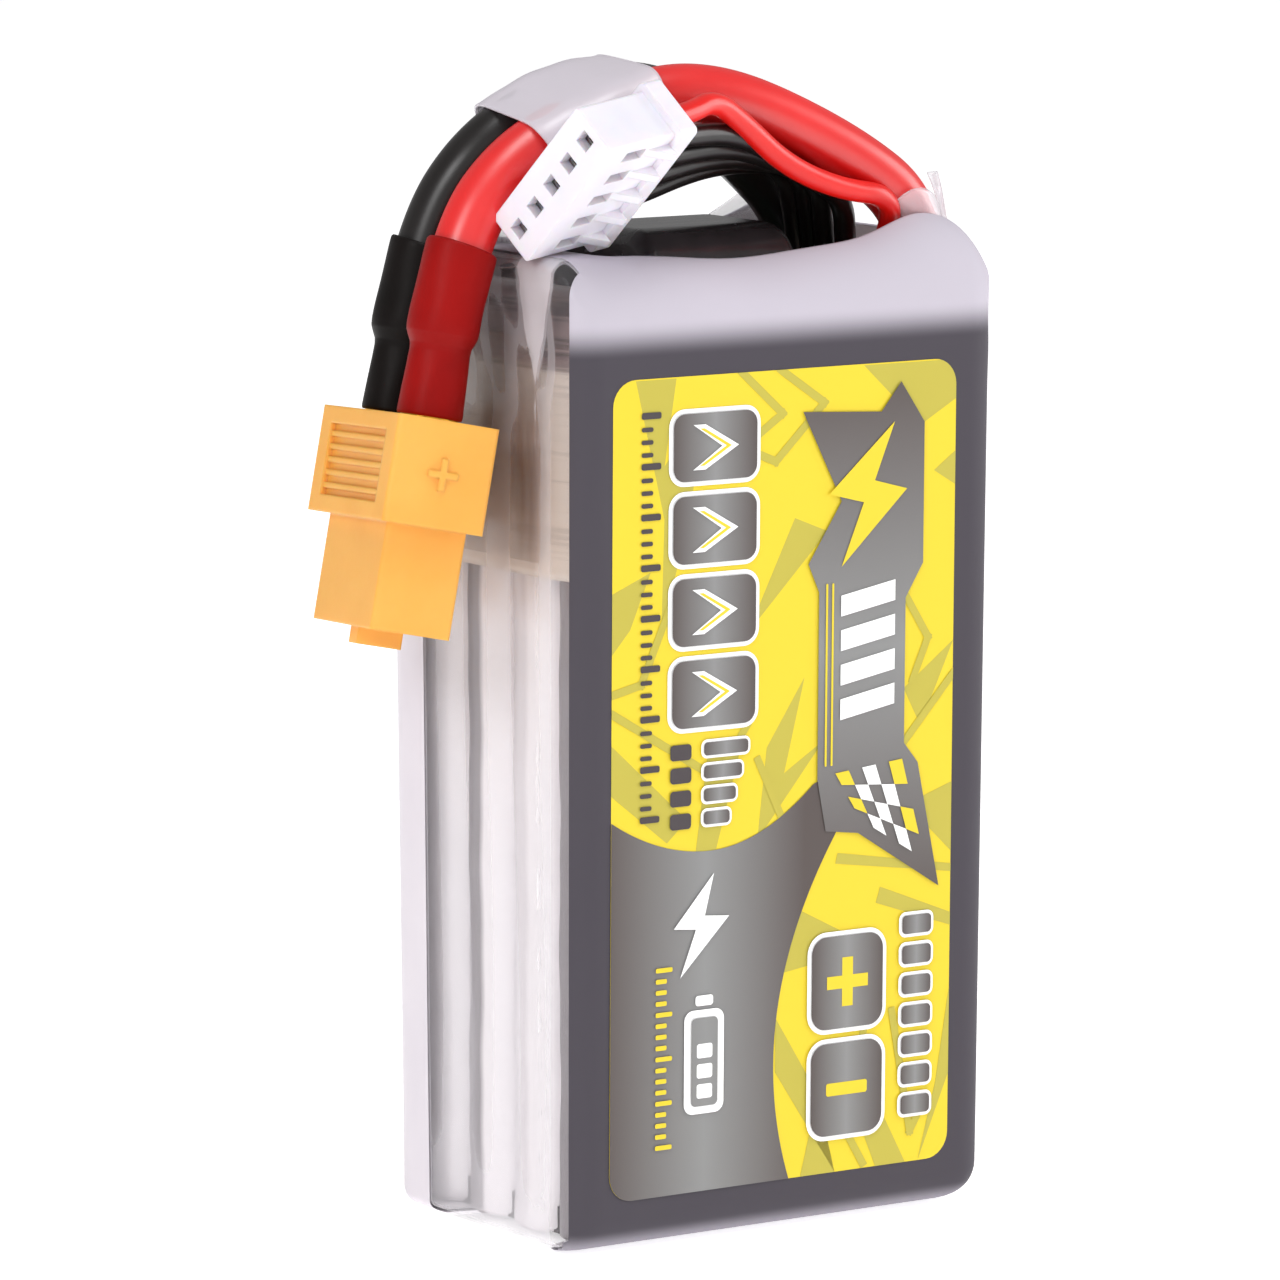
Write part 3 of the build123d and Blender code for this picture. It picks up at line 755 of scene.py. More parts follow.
@dataclass
class Harness:
    """All the leads and wires and the pieces on them. The routes stray up to 4.4 mm from the CAD's.

    Attributes:
        lead_size, wire_size: diameters, in mm.
        plug_way, row_way: which way the balance plug's open face and its row of cavities point.
        plug_face: the middle of that open face, in mm.
        pitch: distance between cavities, in mm.
        reaches: how far behind the face the last two points of each wire are, in mm.
        middles: the other points of each wire, in mm, from the plug to the board.
        wire_lengths: the wires' real lengths, in mm.
    """

    lead_size: float = 4.5
    wire_size: float = 1.7
    plug_way: tuple[float, float, float] = (-0.958, -0.263, -0.115)
    row_way: tuple[float, float, float] = (-0.115, 0.72, -0.685)
    plug_face: tuple[float, float, float] = (-20.4, -12.2, 80.6)
    pitch: float = 2.5
    reaches: tuple[float, float] = (5.4, 11.4)
    middles: tuple = (
        ((-5.4, -11.2, 86.3), (-2.2, -10.2, 84.4), (2.0, -9.8, 81.0), (7.2, -9.5, 78.9), (12.8, -8.9, 78.1),
         (13.4, -6.5, 73.6), (12.7, -4.0, 69.9)),
        ((-1.6, -9.2, 83.6), (5.0, -7.4, 80.2), (11.2, -4.2, 78.0), (12.4, -3.0, 74.0), (12.9, -2.2, 69.9)),
        ((-1.8, -7.8, 82.6), (4.8, -5.6, 80.6), (10.4, -2.4, 79.0), (11.6, -1.2, 74.6), (12.7, -0.4, 69.9)),
        ((-2.0, -6.0, 81.6), (4.6, -3.8, 80.8), (9.6, -1.0, 79.8), (11.0, 0.0, 75.4), (12.9, 1.4, 69.9)),
        ((-2.4, -4.4, 80.6), (4.0, -2.2, 80.7), (8.6, 0.0, 80.0), (10.4, 1.0, 75.6), (12.7, 3.2, 69.9)))
    wire_lengths: tuple[float, ...] = (35.9, 35.1, 34.4, 34.2, 34.0)

    def wire_route(self, index: int) -> list[tuple[float, float, float]]:
        """The points of one balance wire, from the board to its cavity in the plug.

        Args:
            index: 0 for the upper, red wire.
        Returns:
            The route, in mm.
        """
        face, way, row = (Vector(v) for v in (self.plug_face, self.plug_way, self.row_way))
        way, row = way.normalized(), row.normalized()
        offset = (index - 2) * self.pitch
        ends = [tuple(face + row * offset - way * reach) for reach in self.reaches]
        return list(reversed([*ends, *self.middles[index]]))

    def build(self) -> Cord:
        """Makes the cords first, then what is on them.

        Returns:
            The red main lead.
        """
        positive = Cord("positive_lead", [
            (16.4, -7.0, 71.4), (16.6, -6.9, 76.6), (9.4, -6.3, 81.9), (-2.0, -5.2, 86.9),
            (-11.0, -4.7, 85.4), (-18.4, -4.4, 82.4), (-23.49, -4.27, 76.63), (-25.03, -4.45, 69.3)],
            self.lead_size, 55.4, RED_SILICONE, "plug")
        negative = Cord("negative_lead", [
            (14.8, 6.0, 71.6), (13.0, 5.2, 76.0), (6.4, 2.8, 81.0), (-1.8, 0.2, 86.0), (-10.6, -0.1, 86.6),
            (-18.2, 0.8, 83.0), (-22.24, 2.79, 76.2), (-23.78, 2.61, 68.87)],
            self.lead_size, 56.4, BLACK_SILICONE, "plug")
        leads = [cord.build() for cord in (positive, negative)]
        tubes = [ShrinkTube("positive_heat_shrink", positive, RED_POLYOLEFIN).build(),
                 ShrinkTube("negative_heat_shrink", negative, BLACK_POLYOLEFIN).build()]
        band = LeadBand(positive, negative).build()
        LOG.info("main leads, their tubes and their band")
        for index, length in enumerate(self.wire_lengths):
            finish = RED_PVC if index == 0 else BLACK_PVC
            wire = Cord(f"balance_wire_{index + 1}", self.wire_route(index), self.wire_size, length, finish,
                        "connector")
            wire.build()
        LOG.info("five balance wires")
        return positive


# ---------------------------------------------------------------- shrink sleeve
@dataclass
class Sleeve:
    """The heat-shrink film: a rounded box that widens upward, rolled in over both ends.

    Lengths are in mm. A point's way round is given by its place between the corners (cx, cy) and its outward
    direction (nx, ny), so that with half sizes a and b and a corner radius r it stands at
    (cx (a - r) + r nx, cy (b - r) + r ny).

    Attributes:
        height: the body's height.
        widths, depths: its whole size along x and y, at the base and at the top.
        corner: radius of its upright corners.
        base_roll, base_end_rolls: radius of the base's edge at the broad faces, and at the left and right.
        front_roll, end_rolls: the same at the top.
        opening: left and right x of the top opening, and its size along y.
        base_opening: size of the base opening along x and y.
        film: the film's thickness.
        arc_steps, straight_steps: faces along a corner, and along a broad and a narrow side.
        print_start: how many steps of a front corner stay bare.
        top_inked: how many rows of faces at the top are printed all round.
        flat_rows, roll_rows, wall_rows, top_rows: rows of points on base, base roll, walls and top.
        backing_from: the cy from which the bare film is lapped.
    """

    height: float = 75.0
    widths: tuple[float, float] = (38.7, 39.3)
    depths: tuple[float, float] = (26.0, 27.6)
    corner: float = 3.0
    base_roll: float = 2.9
    base_end_rolls: tuple[float, float] = (0.9, 2.9)
    front_roll: float = 5.2
    end_rolls: tuple[float, float] = (1.3, 3.4)
    opening: tuple[float, float, float] = (-15.0, 18.6, 19.4)
    base_opening: tuple[float, float] = (26.0, 15.0)
    film: float = 0.22
    arc_steps: int = 10
    print_start: int = 4
    top_inked: int = 16
    flat_rows: int = 5
    roll_rows: int = 12
    wall_rows: int = 89
    top_rows: int = 25
    backing_from: float = 0.74
    straight_steps: tuple[int, int] = (64, 48)

    def outline(self) -> tuple[Array, Array, Array, Array, Array]:
        """The way round, from the left end of the front, anticlockwise seen from above.

        Returns:
            cx, cy, nx, ny and whether the face after each point is printed.
        """
        long, short = self.straight_steps
        arc = np.linspace(0, np.pi / 2, self.arc_steps + 1)[:-1]
        runs = []
        corners = [(-1, -1), (1, -1), (1, 1), (-1, 1)]
        for index, (sx, sy) in enumerate(corners):
            start = np.pi * (1 + index / 2)
            turn = start + arc
            on_front = np.arange(self.arc_steps) >= self.print_start
            off_front = np.arange(self.arc_steps) < self.arc_steps - self.print_start
            printed = {0: on_front, 1: off_front}.get(index, 0 * arc)
            runs.append((np.full(self.arc_steps, sx), np.full(self.arc_steps, sy), np.cos(turn), np.sin(turn),
                         printed))
            count = long if index in (0, 2) else short
            share = np.linspace(-1, 1, count, endpoint=False)
            nx, ny = round(math.cos(start + np.pi / 2)), round(math.sin(start + np.pi / 2))
            ex, ey = corners[(index + 1) % 4]
            cx = np.where(nx == 0, share * ex, nx)
            cy = np.where(ny == 0, share * ey, ny)
            runs.append((cx, cy, np.full(count, nx), np.full(count, ny), np.full(count, nx == 0)))
        return tuple(np.concatenate([np.asarray(run[i], float) for run in runs]) for i in range(5))

    def place(self, way: tuple, z: Array, insets: tuple[Array, Array, Array], radius: Array) -> Array:
        """Points of the outline at a height, drawn in from the walls.

        Args:
            way: cx, cy, nx and ny of each point round.
            z: R x C heights.
            insets: R x 1 distances in from the left, right and front or back walls.
            radius: R x 1 corner radii.
        Returns:
            R x C x 3 points.
        """
        cx, cy, nx, ny = way
        rise = np.clip(z / self.height, 0, 1)
        half_x = (self.widths[0] + (self.widths[1] - self.widths[0]) * rise) / 2
        half_y = (self.depths[0] + (self.depths[1] - self.depths[0]) * rise) / 2
        left, right, front = insets
        x = (left - right) / 2 + cx * (half_x - (left + right) / 2 - radius) + radius * nx
        y = cy * (half_y - front - radius) + radius * ny
        return np.stack([x, y, z], -1)

    def top_lift(self, x: Array) -> Array:
        """How far the top edge stands up or sags at x: a dip near the middle and a hump on the right."""
        return 1.9 * np.exp(-((x - 14.6) / 4.4) ** 2) - 0.7 * np.exp(-((x + 2.5) / 6.5) ** 2)

    def front_at(self, z: Array) -> Array:
        """The y of the flat front at a height."""
        return -(self.depths[0] + (self.depths[1] - self.depths[0]) * np.clip(z / self.height, 0, 1)) / 2

    def build(self) -> None:
        """Makes the film from its base opening, round the base edge, up the walls and over the top edge.

        A roll of radius R at turn t has an inset R (1 - cos t) and stands R (1 - sin t) short of its end.
        """
        cx, cy, nx, ny, printed = self.outline()
        way = (cx[None], cy[None], nx[None], ny[None])
        side, face = nx[None] ** 2, ny[None] ** 2
        blocks = []
        # Base: from the opening to the start of the roll, then the roll itself.
        share = np.linspace(0, 1, self.flat_rows + 1)[:-1, None]
        reach_x = (self.widths[0] - self.base_opening[0]) / 2
        reach_y = (self.depths[0] - self.base_opening[1]) / 2
        left, right = self.base_end_rolls
        insets = tuple(reach + (roll - reach) * share
                       for reach, roll in ((reach_x, left), (reach_x, right), (reach_y, self.base_roll)))
        blocks.append(self.place(way, np.zeros((self.flat_rows, len(cx))), insets, 1.0 + 0.6 * share))
        turn = np.linspace(np.pi / 2, 0, self.roll_rows)[:, None]
        insets = tuple(roll * (1 - np.cos(turn)) for roll in (left, right, self.base_roll))
        radius = self.corner - 1.4 * np.sin(turn) ** 2
        base_rolls = side * np.where(cx[None] < 0, left, right) + face * self.base_roll
        blocks.append(self.place(way, base_rolls * (1 - np.sin(turn)), insets, radius))
        # Walls.
        rolls = np.where(cx[None] < 0, self.end_rolls[0], self.end_rolls[1])
        low, high = base_rolls, self.height - rolls * side - self.front_roll * face
        share = np.linspace(0, 1, self.wall_rows + 1)[1:, None]
        zero = np.zeros((self.wall_rows, 1))
        blocks.append(self.place(way, low + (high - low) * share, (zero, zero, zero), zero + self.corner))
        # Top roll, each side to its own end: the opening's edge stops it.
        left_x, right_x, width_y = self.opening
        half = self.widths[1] / 2, self.depths[1] / 2
        share = np.linspace(0, 1, self.top_rows + 1)[1:, None]
        insets, drops = [], []
        for roll, reach in ((self.end_rolls[0], half[0] + left_x), (self.end_rolls[1], half[0] - right_x),
                            (self.front_roll, half[1] - width_y / 2)):
            whole = roll * math.acos(1 - reach / roll) if reach < roll else roll * np.pi / 2 + reach - roll
            run = share * whole
            turn = np.minimum(run / roll, np.pi / 2)
            insets.append(roll * (1 - np.cos(turn)) + np.maximum(run - roll * np.pi / 2, 0))
            drops.append(roll * (1 - np.sin(turn)))
        ends = np.where(cx[None] < 0, drops[0], drops[1])
        z = self.height - (side * ends + face * drops[2])
        top = self.place(way, z, tuple(insets), self.corner - 1.2 * share)
        blocks.append(top)
        verts = np.concatenate(blocks)
        verts[..., 2] += self.top_lift(verts[..., 0]) * smooth_step(verts[..., 2], 69.0, 74.6)
        verts += self.wrinkles(verts, nx, ny)
        rows, columns = verts.shape[:2]
        # The top is printed all round. At the base the front's print reaches farther round each corner.
        inked = np.tile(printed > 0.5, (rows - 1, 1))
        inked[-self.top_inked:] = True
        base_rows = self.flat_rows + self.roll_rows
        climb = np.clip(np.arange(-self.flat_rows, self.roll_rows) / (self.roll_rows - 1), 0.02, 1)
        edge = self.print_start / self.arc_steps * np.pi / 2 * climb
        inked[:base_rows] |= ny[None] < -np.sin(edge)[:, None]
        bare = np.where(cy > self.backing_from, LAPPED_SLOT, CLEAR_SLOT)
        slots = np.where(inked, PRINTED_SLOT, bare[None]).ravel()
        # The inner faces take the slot two on from the outer one, or the last.
        outside = [PrintedFilm().make(), CLEAR_PVC.make()]
        inside = [WHITE_BACKING.make(), CLEAR_PVC.make()]
        materials = [*outside, *inside, LAPPED_FILM.make(), WHITE_BACKING.make()]
        made = new_object("shrink_film", verts, grid_faces(rows, columns), materials, slots)
        add_modifier(made, "SOLIDIFY", thickness=self.film * MM, offset=-1.0, material_offset=2,
                     material_offset_rim=0)
        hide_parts("shrink_sleeve")
        LOG.info("shrink film, %d faces", len(slots))

    def wrinkles(self, verts: Array, nx: Array, ny: Array) -> Array:
        """How far the film stands off its smooth form.

        Long upright ripples on the narrow sides, and a few slanting pleats where their film gathers under the
        shoulder: sums of sines of y and z, faded in by the height and by nx^4.
        """
        y, z = verts[..., 1], verts[..., 2]
        side = nx[None] ** 4
        gather = smooth_step(z, 60, 70) * (1 - smooth_step(z, 73.0, 75.0))
        pleats = (0.07 * np.sin(1.15 * y + 0.32 * z + 0.6) + 0.04 * np.sin(2.1 * y - 0.55 * z)
                  + 0.05 * np.sin(0.7 * y + 1.2 * z))
        fade = smooth_step(z, 2.0, 8.0) * (1 - smooth_step(z, 70, 74))
        ripples = 0.03 * np.sin(0.9 * y + 0.4 * np.sin(0.1 * z)) * fade
        push = side * (gather * pleats + ripples)
        return np.stack([push * nx[None], push * ny[None], 0 * push], -1)


# ---------------------------------------------------------------- what shows through the clear sides
@dataclass
class Pouches:
    """The four pouch cells: flat foil bags with bulging sides, a folded seam up each, and a flat top seal.

    Attributes:
        count, pitch: how many, and the distance between their middles, in mm.
        thickness, half_width: of one cell, in mm.
        bulge: how far its sides bulge, in mm.
        bottom, top, seal_top: heights of its foot, of its filled part and of its seal, in mm.
        seam: how far the folded seam stands out, in mm.
        base_roll, front_limit: radius of the film's base edge, and the largest y that leaves it room, in mm.
    """

    count: int = 4
    pitch: float = 6.4
    thickness: float = 6.1
    half_width: float = 17.3
    bulge: float = 2.6
    bottom: float = 0.35
    top: float = 62.4
    seal_top: float = 64.0
    seam: float = 0.28
    base_roll: float = 2.9
    front_limit: float = 12.68

    def build_cell(self, index: int) -> None:
        """Makes one pouch.

        Its section is two flats joined by half ellipses, x = c + bulge cos t, y = b sin t. The half
        thickness b closes to the seal above z = 58.2 and rounds off over the bottom 0.4 mm. No point stands
        farther out in y than front_limit, less R - sqrt(R^2 - (R - z)^2) below the height R of base_roll.

        Args:
            index: 0 for the front cell.
        """
        middle = (index - (self.count - 1) / 2) * self.pitch
        turn = np.linspace(-np.pi / 2, np.pi / 2, 25)
        folded = self.seam * (smooth_step(turn, -1.35, -1.15) - smooth_step(turn, 0.42, 0.5))
        flat = np.linspace(-1, 1, 14)[1:-1]
        edge = self.half_width - self.bulge
        foot = self.bottom + np.array([0.0, 0.06, 0.14, 0.25, 0.4, 1.2])
        head = [59.0, 60.2, 61.2, 62.0, self.top, 63.2, self.seal_top]
        rows = np.concatenate([foot, np.linspace(3.5, 57.5, 42), head])
        rise = np.sqrt(np.clip(1 - (1 - np.clip((rows - self.bottom) / 0.4, 0, 1)) ** 2, 0.7, 1))
        close = smooth_step(rows, 58.2, self.top)
        half_y = self.thickness / 2 * rise * (1 - close) + 0.3 * close
        bulge_x = self.bulge * rise * (1 - 0.5 * close)
        wave = 0.06 * np.sin(0.35 * rows + index * 2.1) + 0.04 * np.sin(0.9 * rows + index)
        seam = folded * (1 - close[:, None])
        right_x = edge + (bulge_x[:, None] + seam) * np.cos(turn) + wave[:, None] * np.cos(turn)
        right_y = half_y[:, None] * np.sin(turn)
        flat_x = edge * flat[::-1]
        x = np.concatenate([right_x, np.tile(flat_x, (len(rows), 1)), -right_x[:, ::-1],
                            np.tile(flat_x[::-1], (len(rows), 1))], 1)
        y = np.concatenate([right_y, np.tile(half_y[:, None], (1, len(flat))), right_y[:, ::-1],
                            np.tile(-half_y[:, None], (1, len(flat)))], 1)
        tuck = self.base_roll - np.sqrt(self.base_roll ** 2 - np.clip(self.base_roll - rows, 0, None) ** 2)
        limit = self.front_limit - tuck[:, None]
        verts = np.stack([x, np.clip(y + middle, -limit, limit), np.tile(rows[:, None], (1, x.shape[1]))], -1)
        columns = x.shape[1]
        faces = grid_faces(len(rows), columns).tolist()
        faces += [list(range(columns))[::-1], list(range((len(rows) - 1) * columns, len(rows) * columns))]
        # Alternate cells take a deeper painted shade on their back flank.
        finish = DEEP_SHADE_POUCH if index % 2 == 0 else LIGHT_SHADE_POUCH
        made = new_object(f"pouch_{index + 1}", verts, faces, [finish.make()])
        share = (turn + np.pi / 2) / np.pi
        across = np.concatenate([share, np.ones(len(flat)), share[::-1], np.zeros(len(flat))])
        loops = np.zeros(len(made.data.loops), np.int32)
        made.data.loops.foreach_get("vertex_index", loops)
        uv = np.stack([across[loops % columns], rows[loops // columns] / self.seal_top], -1)
        made.data.uv_layers.new(name="round").data.foreach_set("uv", uv.ravel())
        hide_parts(f"cell_{index + 1}")

    def build(self) -> None:
        """Makes all the pouches."""
        for index in range(self.count):
            self.build_cell(index)
        LOG.info("%d pouch cells", self.count)


@dataclass
class FibreBand:
    """Glass-fibre tape wound round the tops of the cells, its upper edge folded in over the board.

    Attributes:
        half: half its size along x and y, in mm.
        bottom, fold, top: heights of its lower edge, of the start of its fold and of its end, in mm.
        sides, wall_rows: points round it, and rows of points up its wall.
    """

    half: tuple[float, float] = (18.15, 12.95)
    bottom: float = 50.8
    fold: float = 68.4
    top: float = 72.4
    sides: int = 160
    wall_rows: int = 30

    def build(self) -> None:
        """Makes the wound tape: a rounded box wall, then a quarter turn inward."""
        turn = np.linspace(0, 2 * np.pi, self.sides, endpoint=False)
        power = 0.28
        round_x = np.sign(np.cos(turn)) * np.abs(np.cos(turn)) ** power
        round_y = np.sign(np.sin(turn)) * np.abs(np.sin(turn)) ** power
        wall = np.linspace(self.bottom, self.fold, self.wall_rows)
        bend = np.linspace(0, np.pi / 2, 12)[1:]
        rows = np.concatenate([wall, self.fold + (self.top - self.fold) * np.sin(bend)])
        draw = np.concatenate([np.zeros(self.wall_rows), (self.top - self.fold) * 0.8 * (1 - np.cos(bend))])
        ripple = 0.09 * np.sin(4 * turn[None] + 0.8 * rows[:, None]) * smooth_step(rows, 62, 70)[:, None]
        x = (self.half[0] - draw[:, None] + ripple) * round_x
        y = (self.half[1] - draw[:, None] + ripple) * round_y
        verts = np.stack([x, y, np.tile(rows[:, None], (1, self.sides))], -1)
        made = new_object("fibre_tape_wrap", verts, grid_faces(len(rows), self.sides), [FibreTape().make()])
        add_modifier(made, "SOLIDIFY", thickness=0.15 * MM, offset=-1.0)
        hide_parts("fibre_tape_band")
        LOG.info("fibre tape")


@dataclass
class FilmEnds:
    """Loose ends of clear film that stand up round the opening, and a collar of it over the red lead's foot.

    Attributes:
        red: the lead that the collar is on.
        sheets: each end's four corners, in mm, along its foot and back along its upper edge.
        collar: length of the collar's longest side, in mm.
        sheet_grid, collar_grid: rows and columns of points of an end and of the collar.
    """

    red: Cord
    sheets: tuple = (
        ("film_end_right", ((17.2, -8.9, 76.2), (19.2, -7.4, 74.6), (18.9, -5.2, 79.1), (18.0, -6.0, 79.5))),
        ("film_end_back", ((6.6, 9.6, 74.8), (15.0, 9.6, 74.9), (14.6, 9.1, 78.3), (12.0, 9.2, 77.9))),
        ("film_end_left", ((-15.0, -3.4, 74.9), (-15.0, 6.4, 74.9), (-15.6, 3.0, 78.6), (-15.5, -1.4, 79.4))))
    collar: float = 7.8
    sheet_grid: tuple[int, int] = (16, 18)
    collar_grid: tuple[int, int] = (24, 40)

    def build_sheet(self, name: str, corners: tuple) -> None:
        """Makes one end: a bilinear patch, bowed by sin(pi u) sin(pi v / 2) and creased by a sine.

        Args:
            name: the piece's name.
            corners: its four corners, in mm.
        """
        a, b, c, d = np.array(corners)
        rows, columns = self.sheet_grid
        u, v = np.meshgrid(np.linspace(0, 1, columns), np.linspace(0, 1, rows))
        u, v = u[..., None], v[..., None]
        flat = a * (1 - u) * (1 - v) + b * u * (1 - v) + c * u * v + d * (1 - u) * v
        normal = unit(np.cross(b - a, d - a))
        bow = 0.45 * np.sin(np.pi * u) * np.sin(np.pi * v / 2) + 0.12 * np.sin(9 * u + 4 * v) * v
        made = new_object(name, flat + bow * normal, grid_faces(rows, columns, False), [LOOSE_FILM.make()])
        add_modifier(made, "SOLIDIFY", thickness=0.12 * MM, offset=0.0)

    def build_collar(self) -> None:
        """Makes the collar: part of a tube round the lead, whose upper edge falls away to both sides."""
        line = stretch_of(self.red.line[::-1], self.collar, 60)[::-1]
        rows, columns = self.collar_grid
        first, second = tube_frames(line, np.array([0.0, -1.0, 0.0]))
        turn = np.linspace(-2.1, 2.1, columns)
        reach = 0.5 + 0.5 * np.clip(1 - 0.35 * (turn + 0.4) ** 2, -0.6, 1)
        share = np.linspace(0, 1, rows)[:, None] * reach[None]
        at = share * (len(line) - 1)
        low = np.clip(at.astype(int), 0, len(line) - 2)
        mix = (at - low)[..., None]
        middle = line[low] * (1 - mix) + line[low + 1] * mix
        f = first[low] * (1 - mix) + first[low + 1] * mix
        g = second[low] * (1 - mix) + second[low + 1] * mix
        radius = self.red.diameter / 2 + 0.22 + 0.1 * share[..., None]
        verts = middle + radius * (np.cos(turn)[None, :, None] * f + np.sin(turn)[None, :, None] * g)
        made = new_object("film_collar", verts, grid_faces(rows, columns, False), [LOOSE_FILM.make()])
        add_modifier(made, "SOLIDIFY", thickness=0.1 * MM, offset=0.0)

    def build(self) -> None:
        """Makes the ends and the collar."""
        for name, corners in self.sheets:
            self.build_sheet(name, corners)
        self.build_collar()
        LOG.info("loose film ends")


# ---------------------------------------------------------------- label
@dataclass
class Label:
    """The printed panel on a broad face. Its own drawing is in mm from its lower left corner.

    Attributes:
        sleeve: the film that it is printed on.
        name: the piece's name.
        back: whether it is on the back, where it is turned half round.
        left, bottom: x and z of its lower left corner, in mm.
        width, height: its size, in mm.
        corner: radius of its corners, in mm.
        stand_off: how far the lowest ink stands off the film, in mm.
        lift: how far each shape of ink stands on the one before, in mm.
        shapes: what is drawn on it.
    """

    sleeve: Sleeve
    name: str
    back: bool = False
    left: float = -16.0
    bottom: float = 3.9
    width: float = 31.2
    height: float = 62.1
    corner: float = 2.0
    stand_off: float = 0.03
    lift: float = 0.0015
    shapes: list = field(default_factory=list)

    def add(self, ink: Ink, layer: int, outline: Array | list, shade: tuple[float, float] = (0.0, 1.0),
            upright: bool = False) -> None:
        """Adds one shape of ink.

        Args:
            ink: which ink.
            layer: a shape of a higher layer lies on those of a lower one.
            outline: N x 2 points, in mm.
            shade: where the shaded ink's tone begins and ends.
            upright: whether that tone runs up the label instead of across.
        """
        self.shapes.append((ink, layer, np.asarray(outline, float), shade, upright))

    @staticmethod
    def rounded(x: float, y: float, width: float, height: float, radius: float, lean: float = 0.0) -> Array:
        """A box with rounded corners whose lower left is at (x, y), its right end raised by lean."""
        arc = np.linspace(0, np.pi / 2, 9)
        points = []
        left, right, low, high = x + radius, x + width - radius, y + radius, y + height - radius
        for turn, cx, cy in ((np.pi, left, low), (1.5 * np.pi, right, low), (0.0, right, high),
                             (0.5 * np.pi, left, high)):
            points.append(np.stack([cx + radius * np.cos(turn + arc), cy + radius * np.sin(turn + arc)], -1))
        made = np.concatenate(points)
        made[:, 1] += lean * (made[:, 0] - x) / width
        return made

    def clip(self, outline: Array) -> Array:
        """Cuts an outline to the panel's rounded edge, one straight side of it at a time."""
        fence = self.rounded(0, 0, self.width, self.height, self.corner)
        kept = [tuple(p) for p in outline]
        for a, b in zip(fence, np.roll(fence, -1, axis=0)):
            edge = b - a
            if np.hypot(*edge) < 1e-9 or not kept:
                continue
            side = [edge[0] * (p[1] - a[1]) - edge[1] * (p[0] - a[0]) for p in kept]
            cut = []
            for i, p in enumerate(kept):
                q, s, t = kept[(i + 1) % len(kept)], side[i], side[(i + 1) % len(kept)]
                if s >= 0:
                    cut.append(p)
                if s * t < 0:
                    k = s / (s - t)
                    cut.append((p[0] + k * (q[0] - p[0]), p[1] + k * (q[1] - p[1])))
            kept = cut
        return np.array(kept)

    def draw_ground(self) -> None:
        """The yellow panel, its ochre shards and zigzags, and the grey wave."""
        self.add(Ink.YELLOW, 0, self.rounded(0, 0, self.width, self.height, self.corner))
        shards = [
            [(2.0, 62.0), (5.6, 62.0), (4.6, 55.5), (7.8, 59.6), (7.0, 52.0), (4.4, 43.0), (4.6, 51.5)],
            [(0.0, 46.2), (3.4, 47.6), (1.6, 43.4), (0.0, 41.6)],
            [(22.6, 62.0), (31.2, 62.0), (31.2, 59.0), (26.2, 56.2), (25.2, 59.6)],
            [(12.2, 42.4), (19.4, 49.6), (16.4, 50.8)],
            [(14.0, 33.5), (17.4, 38.6), (15.6, 31.4), (19.2, 33.6), (13.2, 26.5)],
            [(26.6, 37.0), (31.2, 40.4), (28.2, 34.0)], [(29.2, 53.6), (31.2, 55.0), (31.2, 52.4)],
            [(0.0, 34.8), (6.8, 28.6), (5.0, 27.0), (0.0, 31.0)],
            [(8.6, 33.2), (12.0, 35.0), (9.4, 26.0), (7.6, 26.0)], [(27.0, 28.0), (31.2, 29.4), (31.2, 24.0)],
            [(16.6, 21.0), (24.0, 17.2), (15.4, 16.0)],
            [(15.0, 12.6), (19.0, 6.2), (17.4, 0.0), (20.6, 0.0), (15.0, 8.4)],
            [(21.0, 8.0), (24.4, 0.0), (27.2, 0.0), (22.4, 9.0)],
            [(28.4, 0.0), (31.2, 6.6), (31.2, 13.4), (30.0, 6.0)],
            [(24.6, 21.8), (31.2, 19.2), (31.2, 18.2), (24.2, 20.6)],
            [(20.6, 24.8), (31.2, 23.0), (31.2, 22.4), (20.4, 24.0)]]
        for shard in shards:
            self.add(Ink.OCHRE, 1, self.clip(np.array(shard)))
        zigzags = [[(11.5, 62.1), (15.2, 58.8), (11.6, 56.4)],
                   [(15.0, 62.1), (19.0, 59.4), (14.6, 55.2), (12.2, 56.2)],
                   [(0.0, 38.6), (2.6, 39.2), (5.4, 45.4)], [(0.0, 37.2), (9.4, 31.6), (12.2, 35.4)],
                   [(12.4, 22.0), (15.6, 27.6), (13.2, 32.6)], [(26.8, 33.0), (31.2, 37.8)],
                   [(26.4, 44.6), (28.8, 40.8), (27.4, 37.6)],
                   [(19.2, 14.0), (23.6, 12.6), (21.4, 3.4), (23.2, 0.4)],
                   [(25.8, 12.0), (27.6, 2.4), (28.8, 4.4)]]
        for path in zigzags:
            for start, end in zip(path, path[1:]):
                self.add(Ink.OCHRE, 1, self.clip(self.stroke(start, end, 0.62)))
        s = np.linspace(0, 18.3, 40)
        lobe = 26.1 + np.where(s < 8.8, 0.037, 0.047) * (s - 8.8) ** 2
        t = np.linspace(27.2, 0, 40)
        bank = 14.8 + 0.0185 * (t - 9.0) ** 2
        wave = np.concatenate([np.stack([s, lobe], -1), [(20.0, 31.0)], np.stack([bank, t], -1),
                               [(0.0, 0.0)]])
        self.add(Ink.SHADED, 2, self.clip(wave), (-0.5, 17.5))

    @staticmethod
    def stroke(start: tuple[float, float], end: tuple[float, float], width: float) -> Array:
        """A straight bar of a width between two points, running on by half its width at each end."""
        a, b = np.array(start, float), np.array(end, float)
        way = (b - a) / np.hypot(*(b - a)) * width / 2
        square = np.array([-way[1], way[0]])
        return np.array([a - way - square, b + way - square, b + way + square, a - way + square])

